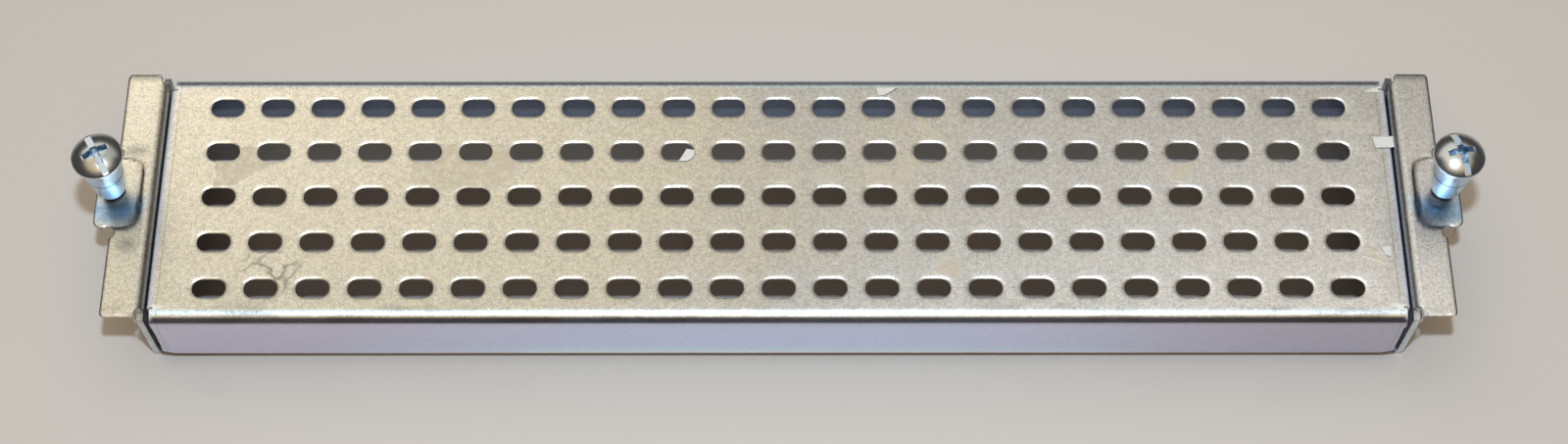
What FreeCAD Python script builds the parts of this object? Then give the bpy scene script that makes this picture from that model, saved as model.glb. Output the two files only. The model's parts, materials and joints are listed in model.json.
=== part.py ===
import FreeCAD, Part

# Slot cover plate: a shallow pan folded from one steel sheet, with a perforated face, a hemmed fold and
# an ear at each end, and a sprung captive screw standing in the recessed pad of each ear.
# Millimetres. X runs along the length, Y towards the rear long side, Z up out of the face.
# The origin is under the middle of the plate, level with the bottom of the hems.

import os
from math import asin, cos, radians, sin

# Sheet
sheet = 1.0
bend_inside = 0.4
wall_bend_inside = 1.2
face_height = 13.0
body_width = 184.6
body_depth = 41.6

# Perforation, as many slots as fit between the margins
slot_pitch = 7.62
slot_length = 5.1
slot_width = 3.05
slot_end_margin = 4.0
slot_side_margin = 2.0

# Long walls
wall_lift = 0.9
wall_end_gap = 0.4
wall_corner = 1.6

# Hemmed ends and ears
hem_gap = 0.8
hem_lap = 30.0
inner_leg_setback = 1.5
ear_rise = 1.2
ear_width = 4.8
ear_overhang = -0.4
ear_corner = 0.8
bend_relief_radius = 1.1
bend_relief_inset = 0.9

# Recessed pads and their tabs
tab_reach = 3.05
pad_inset = 3.5
pad_depth = 11.3
pad_drop = 0.45
pad_slope = 0.85
pad_corner = 2.2
tab_corner = 1.3
tab_relief_radius = 1.1
tab_relief_bite = 0.65
tab_relief_neck = 0.15

# Captive screws
screw_past_ear = 0.25
head_diameter = 7.5
head_rim = 0.6
dome_rise = 1.55
collar_top_diameter = 6.2
collar_line_diameter = 5.8
collar_foot_wall = 0.35
collar_length = 4.0
collar_line_depth = 0.08
collar_line_width = 0.2
foot_length = 4.9
stand_off = 2.45
thread_diameter = 3.0
thread_undercut = 0.4
thread_length = 6.5
thread_point = 0.5
neck_clearance = 0.1
hole_mouth_clearance = 0.2
shoulder_clearance = 0.15

# Driver recess in each head
drive_slot_width = 0.95
drive_slot_depth = 1.35
cross_length = 4.2
cross_width = 0.95
cross_foot_length = 2.0
cross_foot_width = 0.6
cross_depth = 2.3
left_drive_angle = -60.0
right_drive_angle = -77.0

# Springs under the collars
spring_wire = 0.45
spring_wire_flats = 8
spring_turns = 4.5
spring_bore_depth = 3.0
spring_neck_clearance = 0.2
spring_bore_clearance = 0.125
spring_end_clearance = 0.1

# How near to an edge or corner counts as being on it, and how far cutters run past what they cut
near = 0.1
overrun = 1.0

# Worked out from the sizes above
bend_outside = bend_inside + sheet
bend_middle = bend_inside + sheet / 2
wall_bend_outside = wall_bend_inside + sheet
wall_bend_middle = wall_bend_inside + sheet / 2
half_width = body_width / 2
half_depth = body_depth / 2
hem_middle = (hem_gap + sheet) / 2
hem_outside = hem_gap / 2 + sheet
ear_top = face_height + ear_rise
pad_top = ear_top - pad_drop
pad_under = pad_top - sheet
slot_columns = int((body_width - 2 * slot_end_margin - slot_length) / slot_pitch) + 1
slot_rows = int((body_depth - 2 * slot_side_margin - slot_width) / slot_pitch) + 1
outer_leg_face = half_width + hem_gap + sheet
ear_edge = outer_leg_face + ear_width
ear_depth = body_depth + 2 * ear_overhang
tab_edge = ear_edge + tab_reach
pad_inner_edge = ear_edge - pad_inset
screw_from_middle = ear_edge + screw_past_ear
ear_bend_x = outer_leg_face + bend_inside
ear_bend_z = ear_top - bend_outside
inner_leg_depth = body_depth - 2 * (sheet + inner_leg_setback)
wall_length = body_width - 2 * wall_end_gap
collar_foot_z = pad_top + stand_off
collar_line_z = collar_foot_z + foot_length
collar_top_z = collar_line_z + collar_length
rim_z = collar_top_z + head_rim
head_top_z = rim_z + dome_rise
dome_radius = (head_diameter ** 2 / 4 + dome_rise ** 2) / (2 * dome_rise)
neck_foot_z = pad_under - shoulder_clearance
thread_foot_z = neck_foot_z - thread_length
spring_foot_z = pad_top + spring_end_clearance
spring_seat_z = collar_foot_z + spring_bore_depth
spring_length = spring_seat_z - spring_end_clearance - spring_foot_z
neck_diameter = thread_diameter - 2 * thread_undercut
pad_hole_diameter = neck_diameter + 2 * neck_clearance
hole_mouth_diameter = thread_diameter + 2 * hole_mouth_clearance
spring_diameter = neck_diameter + 2 * (spring_neck_clearance + spring_wire)
spring_bore_diameter = spring_diameter + 2 * spring_bore_clearance
collar_foot_diameter = spring_bore_diameter + 2 * collar_foot_wall

UP = FreeCAD.Vector(0, 0, 1)


def point(x, z):
    """A point of a section drawn in the XZ plane."""
    return FreeCAD.Vector(x, 0, z)


def arc_edge(centre, radius, first, last):
    """An arc in the XZ plane between two angles in degrees."""
    angles = [radians(a) for a in (first, (first + last) / 2, last)]
    ends = [point(centre[0] + radius * cos(a), centre[1] + radius * sin(a)) for a in angles]
    return Part.Arc(*ends).toShape()


def strip_edge(x, z, heading):
    """The two points, left then right, where a strip's faces stand off its middle line."""
    across = point(-sin(radians(heading)) * sheet / 2, cos(radians(heading)) * sheet / 2)
    return point(x, z) + across, point(x, z) - across


def folded_section(start, heading, steps):
    """The section of a folded strip, one sheet thick, whose middle line starts at a point and heading.

    A step with one number is a flat of that length. A step with two is a bend: its turn in degrees,
    to the left when positive, and the radius of its middle line.
    """
    x, z = start
    first_end = Part.makeLine(*strip_edge(x, z, heading))
    left, right = [], []
    for step in steps:
        edge_points = strip_edge(x, z, heading)
        if len(step) == 1:
            move = point(step[0] * cos(radians(heading)), step[0] * sin(radians(heading)))
            x += move.x
            z += move.z
            left.append(Part.makeLine(edge_points[0], edge_points[0] + move))
            right.append(Part.makeLine(edge_points[1], edge_points[1] + move))
        else:
            turn, radius = step
            hand = 1 if turn > 0 else -1
            first = heading - 90 * hand
            last = first + turn
            centre = (x - radius * cos(radians(first)), z - radius * sin(radians(first)))
            left.append(arc_edge(centre, radius - hand * sheet / 2, first, last))
            right.append(arc_edge(centre, radius + hand * sheet / 2, first, last))
            x = centre[0] + radius * cos(radians(last))
            z = centre[1] + radius * sin(radians(last))
            heading += turn
    last_end = Part.makeLine(*strip_edge(x, z, heading))
    return Part.Face(Part.Wire(left + [last_end] + right[::-1] + [first_end]))


def along_y(section, length):
    """A section in the XZ plane drawn out along Y, centred on the XZ plane."""
    return section.translated(FreeCAD.Vector(0, -length / 2, 0)).extrude(FreeCAD.Vector(0, length, 0))


def rounded_outline(low_x, high_x, depth, low_radius, high_radius, z):
    """A rectangle about the X axis at height z, with one corner radius at each X end."""
    half = depth / 2
    corners = ((low_x, -half, low_radius, 180), (high_x, -half, high_radius, 270),
               (high_x, half, high_radius, 0), (low_x, half, low_radius, 90))
    arcs = []
    for x, y, radius, first in corners:
        centre_x = x + radius if x == low_x else x - radius
        centre_y = y + radius if y < 0 else y - radius
        angles = [radians(first + turn) for turn in (0, 45, 90)]
        ends = [FreeCAD.Vector(centre_x + radius * cos(a), centre_y + radius * sin(a), z) for a in angles]
        arcs.append(ends)
    edges = []
    for this, following in zip(arcs, arcs[1:] + arcs[:1]):
        edges.append(Part.Arc(*this).toShape())
        edges.append(Part.makeLine(this[2], following[0]))
    return Part.Wire(edges)


def rounded(solid, radius, chosen):
    """A sheet solid with the corners rounded whose short edge, across the sheet, passes a test at both ends."""
    across = [e for e in solid.Edges if abs(e.Length - sheet) < near]
    return solid.makeFillet(radius, [e for e in across if all(chosen(v.Point) for v in e.Vertexes)])


def slot_wire(x, y, z):
    """The outline of one face slot, a long hole with round ends."""
    radius = slot_width / 2
    reach_x = slot_length / 2 - radius
    right_end = [FreeCAD.Vector(x + reach_x, y - radius, z), FreeCAD.Vector(x + reach_x + radius, y, z),
                 FreeCAD.Vector(x + reach_x, y + radius, z)]
    left_end = [FreeCAD.Vector(x - reach_x, y + radius, z), FreeCAD.Vector(x - reach_x - radius, y, z),
                FreeCAD.Vector(x - reach_x, y - radius, z)]
    return Part.Wire([Part.Arc(*right_end).toShape(), Part.makeLine(right_end[2], left_end[0]),
                      Part.Arc(*left_end).toShape(), Part.makeLine(left_end[2], right_end[0])])


def make_face():
    """The flat of the face between its four bends, with every slot through it."""
    z = face_height - sheet
    x = half_width - bend_outside
    y = half_depth - wall_bend_outside
    corners = [FreeCAD.Vector(a * x, b * y, z) for a, b in ((-1, -1), (1, -1), (1, 1), (-1, 1), (-1, -1))]
    wires = [Part.makePolygon(corners)]
    for column in range(slot_columns):
        for row in range(slot_rows):
            slot_x = (column - (slot_columns - 1) / 2) * slot_pitch
            slot_y = (row - (slot_rows - 1) / 2) * slot_pitch
            wires.append(slot_wire(slot_x, slot_y, z))
    return Part.makeFace(wires, "Part::FaceMakerBullseye").extrude(UP * sheet)


def make_long_wall(turn):
    """One long side: the bend at the edge of the face and the wall below it, round at its two corners."""
    start = (half_depth - wall_bend_outside, face_height - sheet / 2)
    drop = face_height - wall_bend_outside - wall_lift
    wall = along_y(folded_section(start, 0, [(-90, wall_bend_middle), (drop,)]), wall_length)
    half = wall_length / 2

    def at_foot(p):
        return abs(abs(p.y) - half) < near and abs(p.z - wall_lift) < near

    wall = rounded(wall, wall_corner, at_foot)
    wall.rotate(FreeCAD.Vector(), UP, turn)
    return wall


def make_end_fold():
    """The right-hand end: ear, outer leg, hem, and the narrower inner leg up to the edge of the face."""
    start = (ear_edge, ear_top - sheet / 2)
    outer_leg = ear_bend_z - hem_outside
    inner_leg = face_height - bend_outside - hem_outside
    outer_steps = [(ear_edge - ear_bend_x,), (90, bend_middle), (outer_leg,), (-90 - hem_lap, hem_middle)]
    inner_steps = [(hem_lap - 90, hem_middle), (inner_leg,), (90, bend_middle)]
    fold = along_y(folded_section(start, 180, outer_steps + inner_steps), inner_leg_depth)
    tip_section = folded_section(start, 180, outer_steps)
    tip_depth = (ear_depth - inner_leg_depth) / 2
    outward = FreeCAD.Vector(-1, 0, 1)
    for hand in (-1, 1):
        end_y = hand * ear_depth / 2
        tip = along_y(tip_section, tip_depth)
        tip.translate(FreeCAD.Vector(0, end_y - hand * tip_depth / 2, 0))

        def at_ear_corner(p):
            return abs(p.x - ear_edge) < near and abs(p.y - end_y) < near

        relief_foot = FreeCAD.Vector(ear_bend_x, end_y - hand * bend_relief_inset, ear_bend_z)
        relief = Part.makeCylinder(bend_relief_radius, 2 * bend_outside, relief_foot, outward)
        fold = fold.fuse(rounded(tip, ear_corner, at_ear_corner)).cut(relief)
    return fold


def pad_frustum(lift, far_edge):
    """The sunken shape of a pad, wide at the top, from the pad's floor to the level of the ear.

    Flat slopes on three sides meet in cones at the two inner corners. It runs out to far_edge.
    """
    corner_x = pad_inner_edge + pad_corner
    corner_y = pad_depth / 2 - pad_corner
    floor_z = pad_top + lift
    mouth_z = ear_top + lift
    lengthwise = [FreeCAD.Vector(corner_x, y, z) for y, z in (
        (-pad_depth / 2, floor_z), (pad_depth / 2, floor_z), (pad_depth / 2 + pad_slope, mouth_z),
        (-pad_depth / 2 - pad_slope, mouth_z), (-pad_depth / 2, floor_z))]
    crosswise = [FreeCAD.Vector(x, -corner_y, z) for x, z in (
        (pad_inner_edge, floor_z), (corner_x, floor_z), (corner_x, mouth_z),
        (pad_inner_edge - pad_slope, mouth_z), (pad_inner_edge, floor_z))]
    trough = Part.Face(Part.makePolygon(lengthwise)).extrude(FreeCAD.Vector(far_edge - corner_x, 0, 0))
    inner_slope = Part.Face(Part.makePolygon(crosswise)).extrude(FreeCAD.Vector(0, 2 * corner_y, 0))
    corners = [Part.makeCone(pad_corner, pad_corner + pad_slope, pad_drop,
                             FreeCAD.Vector(corner_x, hand * corner_y, floor_z)) for hand in (-1, 1)]
    return trough.fuse([inner_slope] + corners).removeSplitter()


def make_ear_pad(fold):
    """The same end with its pad drawn down into the ear and run out past the ear's edge as a tab."""
    tab_wire = rounded_outline(pad_inner_edge, tab_edge, pad_depth, pad_corner, tab_corner, pad_under)
    tab = Part.Face(tab_wire).extrude(UP * sheet)
    end = fold.fuse([pad_frustum(-sheet, ear_edge), tab]).cut(pad_frustum(0, tab_edge + overrun))
    cut_foot = pad_under - overrun
    cut_height = ear_top + overrun - cut_foot
    for hand in (-1, 1):
        notch = FreeCAD.Vector(ear_edge + tab_relief_radius - tab_relief_bite,
                               hand * (pad_depth / 2 + tab_relief_radius - tab_relief_neck), cut_foot)
        end = end.cut(Part.makeCylinder(tab_relief_radius, cut_height, notch, UP))
    hole_foot = FreeCAD.Vector(screw_from_middle, 0, cut_foot)
    hole = Part.makeCylinder(pad_hole_diameter / 2, cut_height, hole_foot, UP)
    mouth_radius = hole_mouth_diameter / 2
    mouth = Part.makeCone(mouth_radius, 0, mouth_radius, FreeCAD.Vector(screw_from_middle, 0, pad_under))
    return end.cut([hole, mouth])


def make_panel():
    """The whole folded sheet as one solid."""
    right_end = make_ear_pad(make_end_fold())
    left_end = right_end.mirror(FreeCAD.Vector(), FreeCAD.Vector(1, 0, 0))
    walls = [make_long_wall(turn) for turn in (-90, 90)]
    return make_face().fuse(walls + [right_end, left_end]).removeSplitter()


def driver_recess(angle):
    """The cutter for a head's full-width slot and its tapered cross, turned about the screw's axis."""
    floor = head_top_z - drive_slot_depth
    slot = Part.makeBox(head_diameter, drive_slot_width, dome_rise,
                        FreeCAD.Vector(-head_diameter / 2, -drive_slot_width / 2, floor))
    wings = []
    for swap in (False, True):
        outlines = []
        for length, width, z in ((cross_foot_length, cross_foot_width, head_top_z - cross_depth),
                                 (cross_length, cross_width, head_top_z)):
            half_x, half_y = (width / 2, length / 2) if swap else (length / 2, width / 2)
            signs = ((-1, -1), (1, -1), (1, 1), (-1, 1), (-1, -1))
            outlines.append(Part.makePolygon([FreeCAD.Vector(a * half_x, b * half_y, z) for a, b in signs]))
        wings.append(Part.makeLoft(outlines, True, True))
    cutter = slot.fuse(wings)
    cutter.rotate(FreeCAD.Vector(), UP, angle)
    return cutter


def make_screw(x, angle):
    """One turned screw: domed head, collar with a fine line, tapered foot, neck and threaded end."""
    line_low = collar_line_z - collar_line_width / 2
    line_high = collar_line_z + collar_line_width / 2
    line_bottom = collar_line_diameter / 2 - collar_line_depth
    half_sweep = asin(head_diameter / 2 / dome_radius) / 2
    dome_middle = point(dome_radius * sin(half_sweep), head_top_z - dome_radius * (1 - cos(half_sweep)))
    corners = [point(head_diameter / 2, rim_z), point(head_diameter / 2, collar_top_z),
               point(collar_top_diameter / 2, collar_top_z), point(collar_line_diameter / 2, line_high),
               point(line_bottom, collar_line_z), point(collar_line_diameter / 2, line_low),
               point(collar_foot_diameter / 2, collar_foot_z), point(spring_bore_diameter / 2, collar_foot_z),
               point(spring_bore_diameter / 2, spring_seat_z), point(neck_diameter / 2, spring_seat_z),
               point(neck_diameter / 2, neck_foot_z), point(thread_diameter / 2, neck_foot_z),
               point(thread_diameter / 2, thread_foot_z + thread_point),
               point(thread_diameter / 2 - thread_point, thread_foot_z), point(0, thread_foot_z),
               point(0, head_top_z)]
    dome = Part.Arc(point(0, head_top_z), dome_middle, point(head_diameter / 2, rim_z)).toShape()
    outline = Part.Wire(Part.makePolygon(corners).Edges + [dome])
    screw = Part.Face(outline).revolve(FreeCAD.Vector(), UP, 360).cut(driver_recess(angle))
    screw.translate(FreeCAD.Vector(x, 0, 0))
    return screw


def make_spring(x):
    """One open coil spring between the pad and the seat bored up into the collar.

    The fine wire is drawn with a few flats round it, so that the coil stays light.
    """
    radius = (spring_diameter - spring_wire) / 2
    rise = spring_length - spring_wire
    coil = Part.Wire(Part.makeHelix(rise / spring_turns, rise, radius))
    angles = [radians(360 * step / spring_wire_flats) for step in range(spring_wire_flats + 1)]
    section = [FreeCAD.Vector(radius + spring_wire / 2 * cos(a), 0, spring_wire / 2 * sin(a)) for a in angles]
    spring = coil.makePipeShell([Part.makePolygon(section)], True, True)
    spring.translate(FreeCAD.Vector(x, 0, spring_foot_z + spring_wire / 2))
    return spring


def main():
    """Builds every piece and writes each to its own file."""
    pieces = {
        "cover_panel": make_panel(),
        "left_captive_screw": make_screw(-screw_from_middle, left_drive_angle),
        "right_captive_screw": make_screw(screw_from_middle, right_drive_angle),
        "left_screw_spring": make_spring(-screw_from_middle),
        "right_screw_spring": make_spring(screw_from_middle),
    }
    os.makedirs("parts", exist_ok=True)
    for name, shape in pieces.items():
        box = shape.BoundBox
        print(name, shape.ShapeType, "solids", len(shape.Solids), "valid", shape.isValid(),
              "volume %.1f" % shape.Volume, "box %.2f %.2f %.2f to %.2f %.2f %.2f" % (
                  box.XMin, box.YMin, box.ZMin, box.XMax, box.YMax, box.ZMax))
        shape.exportStep("parts/" + name + ".step")


main()
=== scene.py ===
"""Looks of a slot cover plate: a perforated pan folded from plated sheet, held by two sprung captive screws.

Lengths in the classes are millimetres in the part's own frame. They become metres when a mesh is made.
"""
import json
import logging
import math
from dataclasses import dataclass
from enum import Enum
from functools import partial, reduce

import bpy
import numpy as np
from mathutils import Matrix, Vector


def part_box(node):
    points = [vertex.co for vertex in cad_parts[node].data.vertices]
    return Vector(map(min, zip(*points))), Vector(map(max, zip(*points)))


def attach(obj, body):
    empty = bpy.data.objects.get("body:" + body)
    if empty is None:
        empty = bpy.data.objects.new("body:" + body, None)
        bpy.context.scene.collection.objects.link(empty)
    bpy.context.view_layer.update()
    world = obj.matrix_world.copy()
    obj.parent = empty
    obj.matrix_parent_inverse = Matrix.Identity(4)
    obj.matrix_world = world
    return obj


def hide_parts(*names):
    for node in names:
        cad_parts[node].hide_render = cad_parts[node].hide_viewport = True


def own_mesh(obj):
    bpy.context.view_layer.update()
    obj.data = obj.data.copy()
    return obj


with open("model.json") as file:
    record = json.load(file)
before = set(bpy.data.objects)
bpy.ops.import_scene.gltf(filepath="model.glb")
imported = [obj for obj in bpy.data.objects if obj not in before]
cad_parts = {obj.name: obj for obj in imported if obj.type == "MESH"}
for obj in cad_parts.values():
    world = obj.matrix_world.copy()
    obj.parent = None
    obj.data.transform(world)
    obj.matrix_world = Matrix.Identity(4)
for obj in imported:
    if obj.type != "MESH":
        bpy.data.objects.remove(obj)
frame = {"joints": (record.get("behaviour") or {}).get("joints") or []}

Array = np.ndarray
RGBA = tuple[float, float, float, float]
Offsets = tuple[tuple[float, float], ...]
Triple = tuple[float, float, float]
Node = bpy.types.Node
Socket = bpy.types.NodeSocket
NodeTree = bpy.types.NodeTree
Material = bpy.types.Material
Piece = bpy.types.Object
MM = 0.001
TOUCH = 1e-4
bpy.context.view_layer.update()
LOG = logging.getLogger("slot_cover_plate")


class Side(Enum):
    """The two ends of the plate, by the sign of X."""

    LEFT = -1
    RIGHT = 1

    @property
    def word(self) -> str:
        """The side's name as it stands in the frame's nodes and bodies."""
        return self.name.lower()


@dataclass(frozen=True)
class Patch:
    """A piece of surface as points and four-cornered faces.

    Attributes:
        points: One row of X, Y and Z for each point.
        quads: One row of four point numbers for each face. A repeated number makes it a triangle.
    """

    points: Array
    quads: Array

    @classmethod
    def from_grid(cls, points: Array, flip: bool = False, skip: tuple[slice, slice] | None = None) -> "Patch":
        """Joins neighbours of a grid of points into faces.

        Args:
            points: Grid of points, of shape (rows, columns, 3).
            flip: Turns the faces over. Unflipped, they face along the row step crossed with the column step.
            skip: Rows and columns of faces to leave out.

        Returns:
            The patch of all the faces that are left.
        """
        rows, columns = points.shape[:2]
        number = np.arange(rows * columns).reshape(rows, columns)
        quads = np.stack([number[:-1, :-1], number[1:, :-1], number[1:, 1:], number[:-1, 1:]], axis=-1)
        kept = np.ones(quads.shape[:2], dtype=bool)
        if skip is not None:
            kept[skip] = False
        quads = quads[kept]
        return cls(points.reshape(-1, 3), quads[:, ::-1] if flip else quads)

    @classmethod
    def from_loops(cls, loops: Array) -> "Patch":
        """Joins closed loops of points, each to the next one, for any number of such stacks.

        Args:
            loops: Points of shape (stacks, loops, points in a loop, 3).

        Returns:
            The patch that fills every stack from its first loop to its last.
        """
        stacks, rings, around = loops.shape[:3]
        number = np.arange(stacks * rings * around).reshape(stacks, rings, around)
        following = np.roll(number, -1, axis=2)
        quads = np.stack([number[:, :-1], following[:, :-1], following[:, 1:], number[:, 1:]], axis=-1)
        return cls(loops.reshape(-1, 3), quads.reshape(-1, 4))

    def mirrored(self) -> "Patch":
        """The same patch with X turned to minus X, still facing outwards."""
        return Patch(self.points * (-1.0, 1.0, 1.0), self.quads[:, ::-1])

    def moved(self, turn: float, shift: Triple) -> "Patch":
        """Turns the patch about the Z axis and then shifts it.

        Args:
            turn: Angle in degrees.
            shift: Distance along X, Y and Z.

        Returns:
            The patch in its new place.
        """
        angle = math.radians(turn)
        cosine, sine = math.cos(angle), math.sin(angle)
        about = np.array([[cosine, sine, 0], [-sine, cosine, 0], [0, 0, 1]])
        return Patch(self.points @ about + shift, self.quads)

    def open_points(self) -> Array:
        """True for each point on a free edge, which is an edge that only one face has."""
        pairs = np.stack([self.quads, np.roll(self.quads, -1, axis=1)], axis=-1)
        edges = np.sort(pairs.reshape(-1, 2), axis=1)
        edges = edges[edges[:, 0] != edges[:, 1]]
        unique, uses = np.unique(edges, axis=0, return_counts=True)
        free = np.zeros(len(self.points), dtype=bool)
        free[unique[uses == 1].ravel()] = True
        return free

    def to_object(self, name: str) -> Piece:
        """Makes a smooth mesh object of the patch, in metres, at the origin.

        Args:
            name: Name of the object and its mesh.

        Returns:
            The new object, linked to the scene.
        """
        differs = self.quads != np.roll(self.quads, -1, axis=1)
        whole = differs.all(axis=1)
        thin = differs.sum(axis=1) == 3
        faces = self.quads[whole].tolist() + self.quads[thin][differs[thin]].reshape(-1, 3).tolist()
        mesh = bpy.data.meshes.new(name)
        mesh.from_pydata((self.points * MM).tolist(), [], faces)
        mesh.polygons.foreach_set("use_smooth", np.ones(len(mesh.polygons), dtype=bool))
        mesh.update()
        made = bpy.data.objects.new(name, mesh)
        bpy.context.scene.collection.objects.link(made)
        return made


def weld(patches: list[Patch], grain: float = TOUCH) -> Patch:
    """Joins patches into one, where points that fall in the same place become one point.

    Args:
        patches: The patches to join.
        grain: Distance, in millimetres, that points are rounded to when they are compared.

    Returns:
        One patch.
    """
    offsets = np.cumsum([0] + [len(patch.points) for patch in patches[:-1]])
    points = np.concatenate([patch.points for patch in patches])
    quads = np.concatenate([patch.quads + offset for patch, offset in zip(patches, offsets)])
    keys = np.round(points / grain).astype(np.int64)
    _, first, place = np.unique(keys, axis=0, return_index=True, return_inverse=True)
    return Patch(points[first], place.reshape(-1)[quads])


def arc(centre: tuple[float, float], radius: float, first: float, last: float, steps: int) -> Array:
    """Points of an arc: the centre plus the radius times the cosine and sine of evenly spaced angles.

    Args:
        centre: Centre in the plane of the arc.
        radius: Radius of the arc.
        first: First angle in degrees.
        last: Last angle in degrees.
        steps: Number of equal steps between the two.

    Returns:
        Points of shape (steps + 1, 2).
    """
    angle = np.radians(np.linspace(first, last, steps + 1))
    return np.stack([centre[0] + radius * np.cos(angle), centre[1] + radius * np.sin(angle)], axis=-1)


def line(start: tuple[float, float], end: tuple[float, float], steps: int) -> Array:
    """Evenly spaced points from one end of a straight line to the other, of shape (steps + 1, 2)."""
    share = np.linspace(0, 1, steps + 1)[:, None]
    return np.array(start) * (1 - share) + np.array(end) * share


@dataclass(frozen=True)
class Fade:
    """A smooth step from one value to another.

    Attributes:
        start, end: Where it starts and ends, in millimetres where it runs over a coordinate.
        before, after: The values before and after it.
    """

    start: float
    end: float
    before: float = 0.0
    after: float = 1.0


@dataclass
class NodeSheet:
    """A node tree being written, with short ways to add nodes and links.

    Attributes:
        tree: The node tree of a material, a world or a node group.
    """

    tree: NodeTree

    def add(self, kind: str, **settings: object) -> Node:
        """Adds a node.

        Args:
            kind: The node's type without its ShaderNode prefix.
            **settings: Properties of the node to set.

        Returns:
            The new node.
        """
        node = self.tree.nodes.new(kind if kind.startswith("NodeGroup") else "ShaderNode" + kind)
        for key, value in settings.items():
            setattr(node, key, value)
        return node

    def feed(self, socket: Socket, value: object) -> None:
        """Links an output to a socket, or sets the socket where the value is plain.

        Args:
            socket: The input to feed.
            value: An output socket, a number or a sequence of numbers.
        """
        if isinstance(value, Socket):
            self.tree.links.new(value, socket)
        else:
            socket.default_value = value

    def feed_named(self, node: Node, entries: dict[str, object]) -> None:
        """Feeds inputs of a node by their names."""
        for name, entry in entries.items():
            self.feed(node.inputs[name], entry)

    def math(self, operation: str, *values: object, clamp: bool = False) -> Socket:
        """One Math node on the given values, as its output socket."""
        node = self.add("Math", operation=operation, use_clamp=clamp)
        for socket, value in zip(node.inputs, values):
            self.feed(socket, value)
        return node.outputs[0]

    def times(self, *values: object) -> Socket:
        """The product of the values."""
        return reduce(partial(self.math, "MULTIPLY"), values)

    def most(self, *values: object) -> Socket:
        """The greatest of the values."""
        return reduce(partial(self.math, "MAXIMUM"), values)

    def without(self, value: object) -> Socket:
        """One less the value."""
        return self.math("SUBTRACT", 1.0, value)

    def distance(self, value: object, place: float) -> Socket:
        """How far a coordinate is from a place in millimetres, either way."""
        return self.math("ABSOLUTE", self.math("SUBTRACT", value, place * MM))

    def vector(self, operation: str, *values: object) -> Socket:
        """One Vector Math node on the given values, as its vector output or its length."""
        node = self.add("VectorMath", operation=operation)
        for socket, value in zip(node.inputs, values):
            self.feed(socket, value)
        return node.outputs["Value" if operation == "LENGTH" else "Vector"]

    def axes(self, place: object) -> tuple[Socket, ...]:
        """X, Y and Z of a vector."""
        node = self.add("SeparateXYZ")
        self.feed(node.inputs[0], place)
        return tuple(node.outputs)

    def ramp(self, value: object, low: object, high: object, before: float = 0.0,
             after: float = 1.0) -> Socket:
        """A smooth step from one value to another as the input goes from low to high.

        Args:
            value: The input.
            low: Input at which the step starts.
            high: Input at which it ends.
            before: Output before the step.
            after: Output after the step.

        Returns:
            The output socket.
        """
        node = self.add("MapRange", interpolation_type="SMOOTHSTEP")
        self.feed_named(node, {"Value": value, "From Min": low, "From Max": high})
        self.feed_named(node, {"To Min": before, "To Max": after})
        return node.outputs[0]

    def step(self, value: object, fade: Fade) -> Socket:
        """A fade over a plain value."""
        return self.ramp(value, fade.start, fade.end, fade.before, fade.after)

    def fade(self, value: object, fade: Fade, place: float = 0.0) -> Socket:
        """A fade over a coordinate, counted from a place in millimetres."""
        return self.ramp(value, (place + fade.start) * MM, (place + fade.end) * MM, fade.before, fade.after)

    def mix(self, share: object, first: object, second: object, blend: str = "MIX") -> Socket:
        """A colour mix of two colours by a share.

        Args:
            share: How much of the second colour.
            first: First colour.
            second: Second colour.
            blend: Name of the blend.

        Returns:
            The mixed colour.
        """
        node = self.add("Mix", data_type="RGBA", blend_type=blend, clamp_factor=True)
        self.feed_named(node, {"Factor": share, "A": first, "B": second})
        return [out for out in node.outputs if out.type == "RGBA"][0]

    def toned(self, colour: object, tone: object, share: object = 1.0) -> Socket:
        """A colour multiplied by a tone, as far as the share says."""
        return self.mix(share, colour, tone, "MULTIPLY")

    def layered(self, colour: object, layers: tuple[tuple[object, object], ...]) -> Socket:
        """Lays colours over a first one in turn.

        Args:
            colour: The first colour.
            layers: A share and a colour for each layer.

        Returns:
            The colour of all the layers together.
        """
        for share, over in layers:
            colour = self.mix(share, colour, over)
        return colour

    def noise(self, place: object, scale: object, detail: float = 2.0,
              roughness: float = 0.5) -> Socket:
        """Noise about one half at a place, with a scale in cycles for each metre."""
        node = self.add("TexNoise")
        self.feed_named(node, {"Vector": place, "Scale": scale, "Detail": detail, "Roughness": roughness})
        return node.outputs[0]

    def bump(self, shader: Node, height: object, strength: object, depth: float) -> None:
        """Feeds a shader's normal with a bump.

        Args:
            shader: The shader.
            height: Height from nought to one.
            strength: How much of the bump shows.
            depth: Depth of the bump in millimetres.
        """
        node = self.add("Bump")
        self.feed_named(node, {"Strength": strength, "Distance": depth * MM, "Height": height})
        self.feed(shader.inputs["Normal"], node.outputs[0])

    def group(self, tree: NodeTree, **values: object) -> Node:
        """Places a node group, with underscores for the spaces of its input names.

        Args:
            tree: The group.
            **values: Values or output sockets for its inputs.

        Returns:
            The group node.
        """
        node = self.add("Group", node_tree=tree)
        self.feed_named(node, {key.replace("_", " "): value for key, value in values.items()})
        return node


def start_group(name: str, inputs: dict[str, object],
                outputs: list[str]) -> tuple[NodeSheet, dict, Node]:
    """Starts a shader node group with named sockets.

    Args:
        name: Name of the group.
        inputs: Input names with their first values, where three numbers make a vector.
        outputs: Names of the value outputs.

    Returns:
        The sheet to write on, the input sockets by name, and the output node.
    """
    tree = bpy.data.node_groups.new(name, "ShaderNodeTree")
    for key, value in inputs.items():
        kind = "NodeSocketFloat" if isinstance(value, float) else "NodeSocketVector"
        tree.interface.new_socket(key, in_out="INPUT", socket_type=kind).default_value = value
    for key in outputs:
        tree.interface.new_socket(key, in_out="OUTPUT", socket_type="NodeSocketFloat")
    sheet = NodeSheet(tree)
    entry = sheet.add("NodeGroupInput")
    leave = sheet.add("NodeGroupOutput")
    return sheet, {key: entry.outputs[key] for key in inputs}, leave


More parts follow.
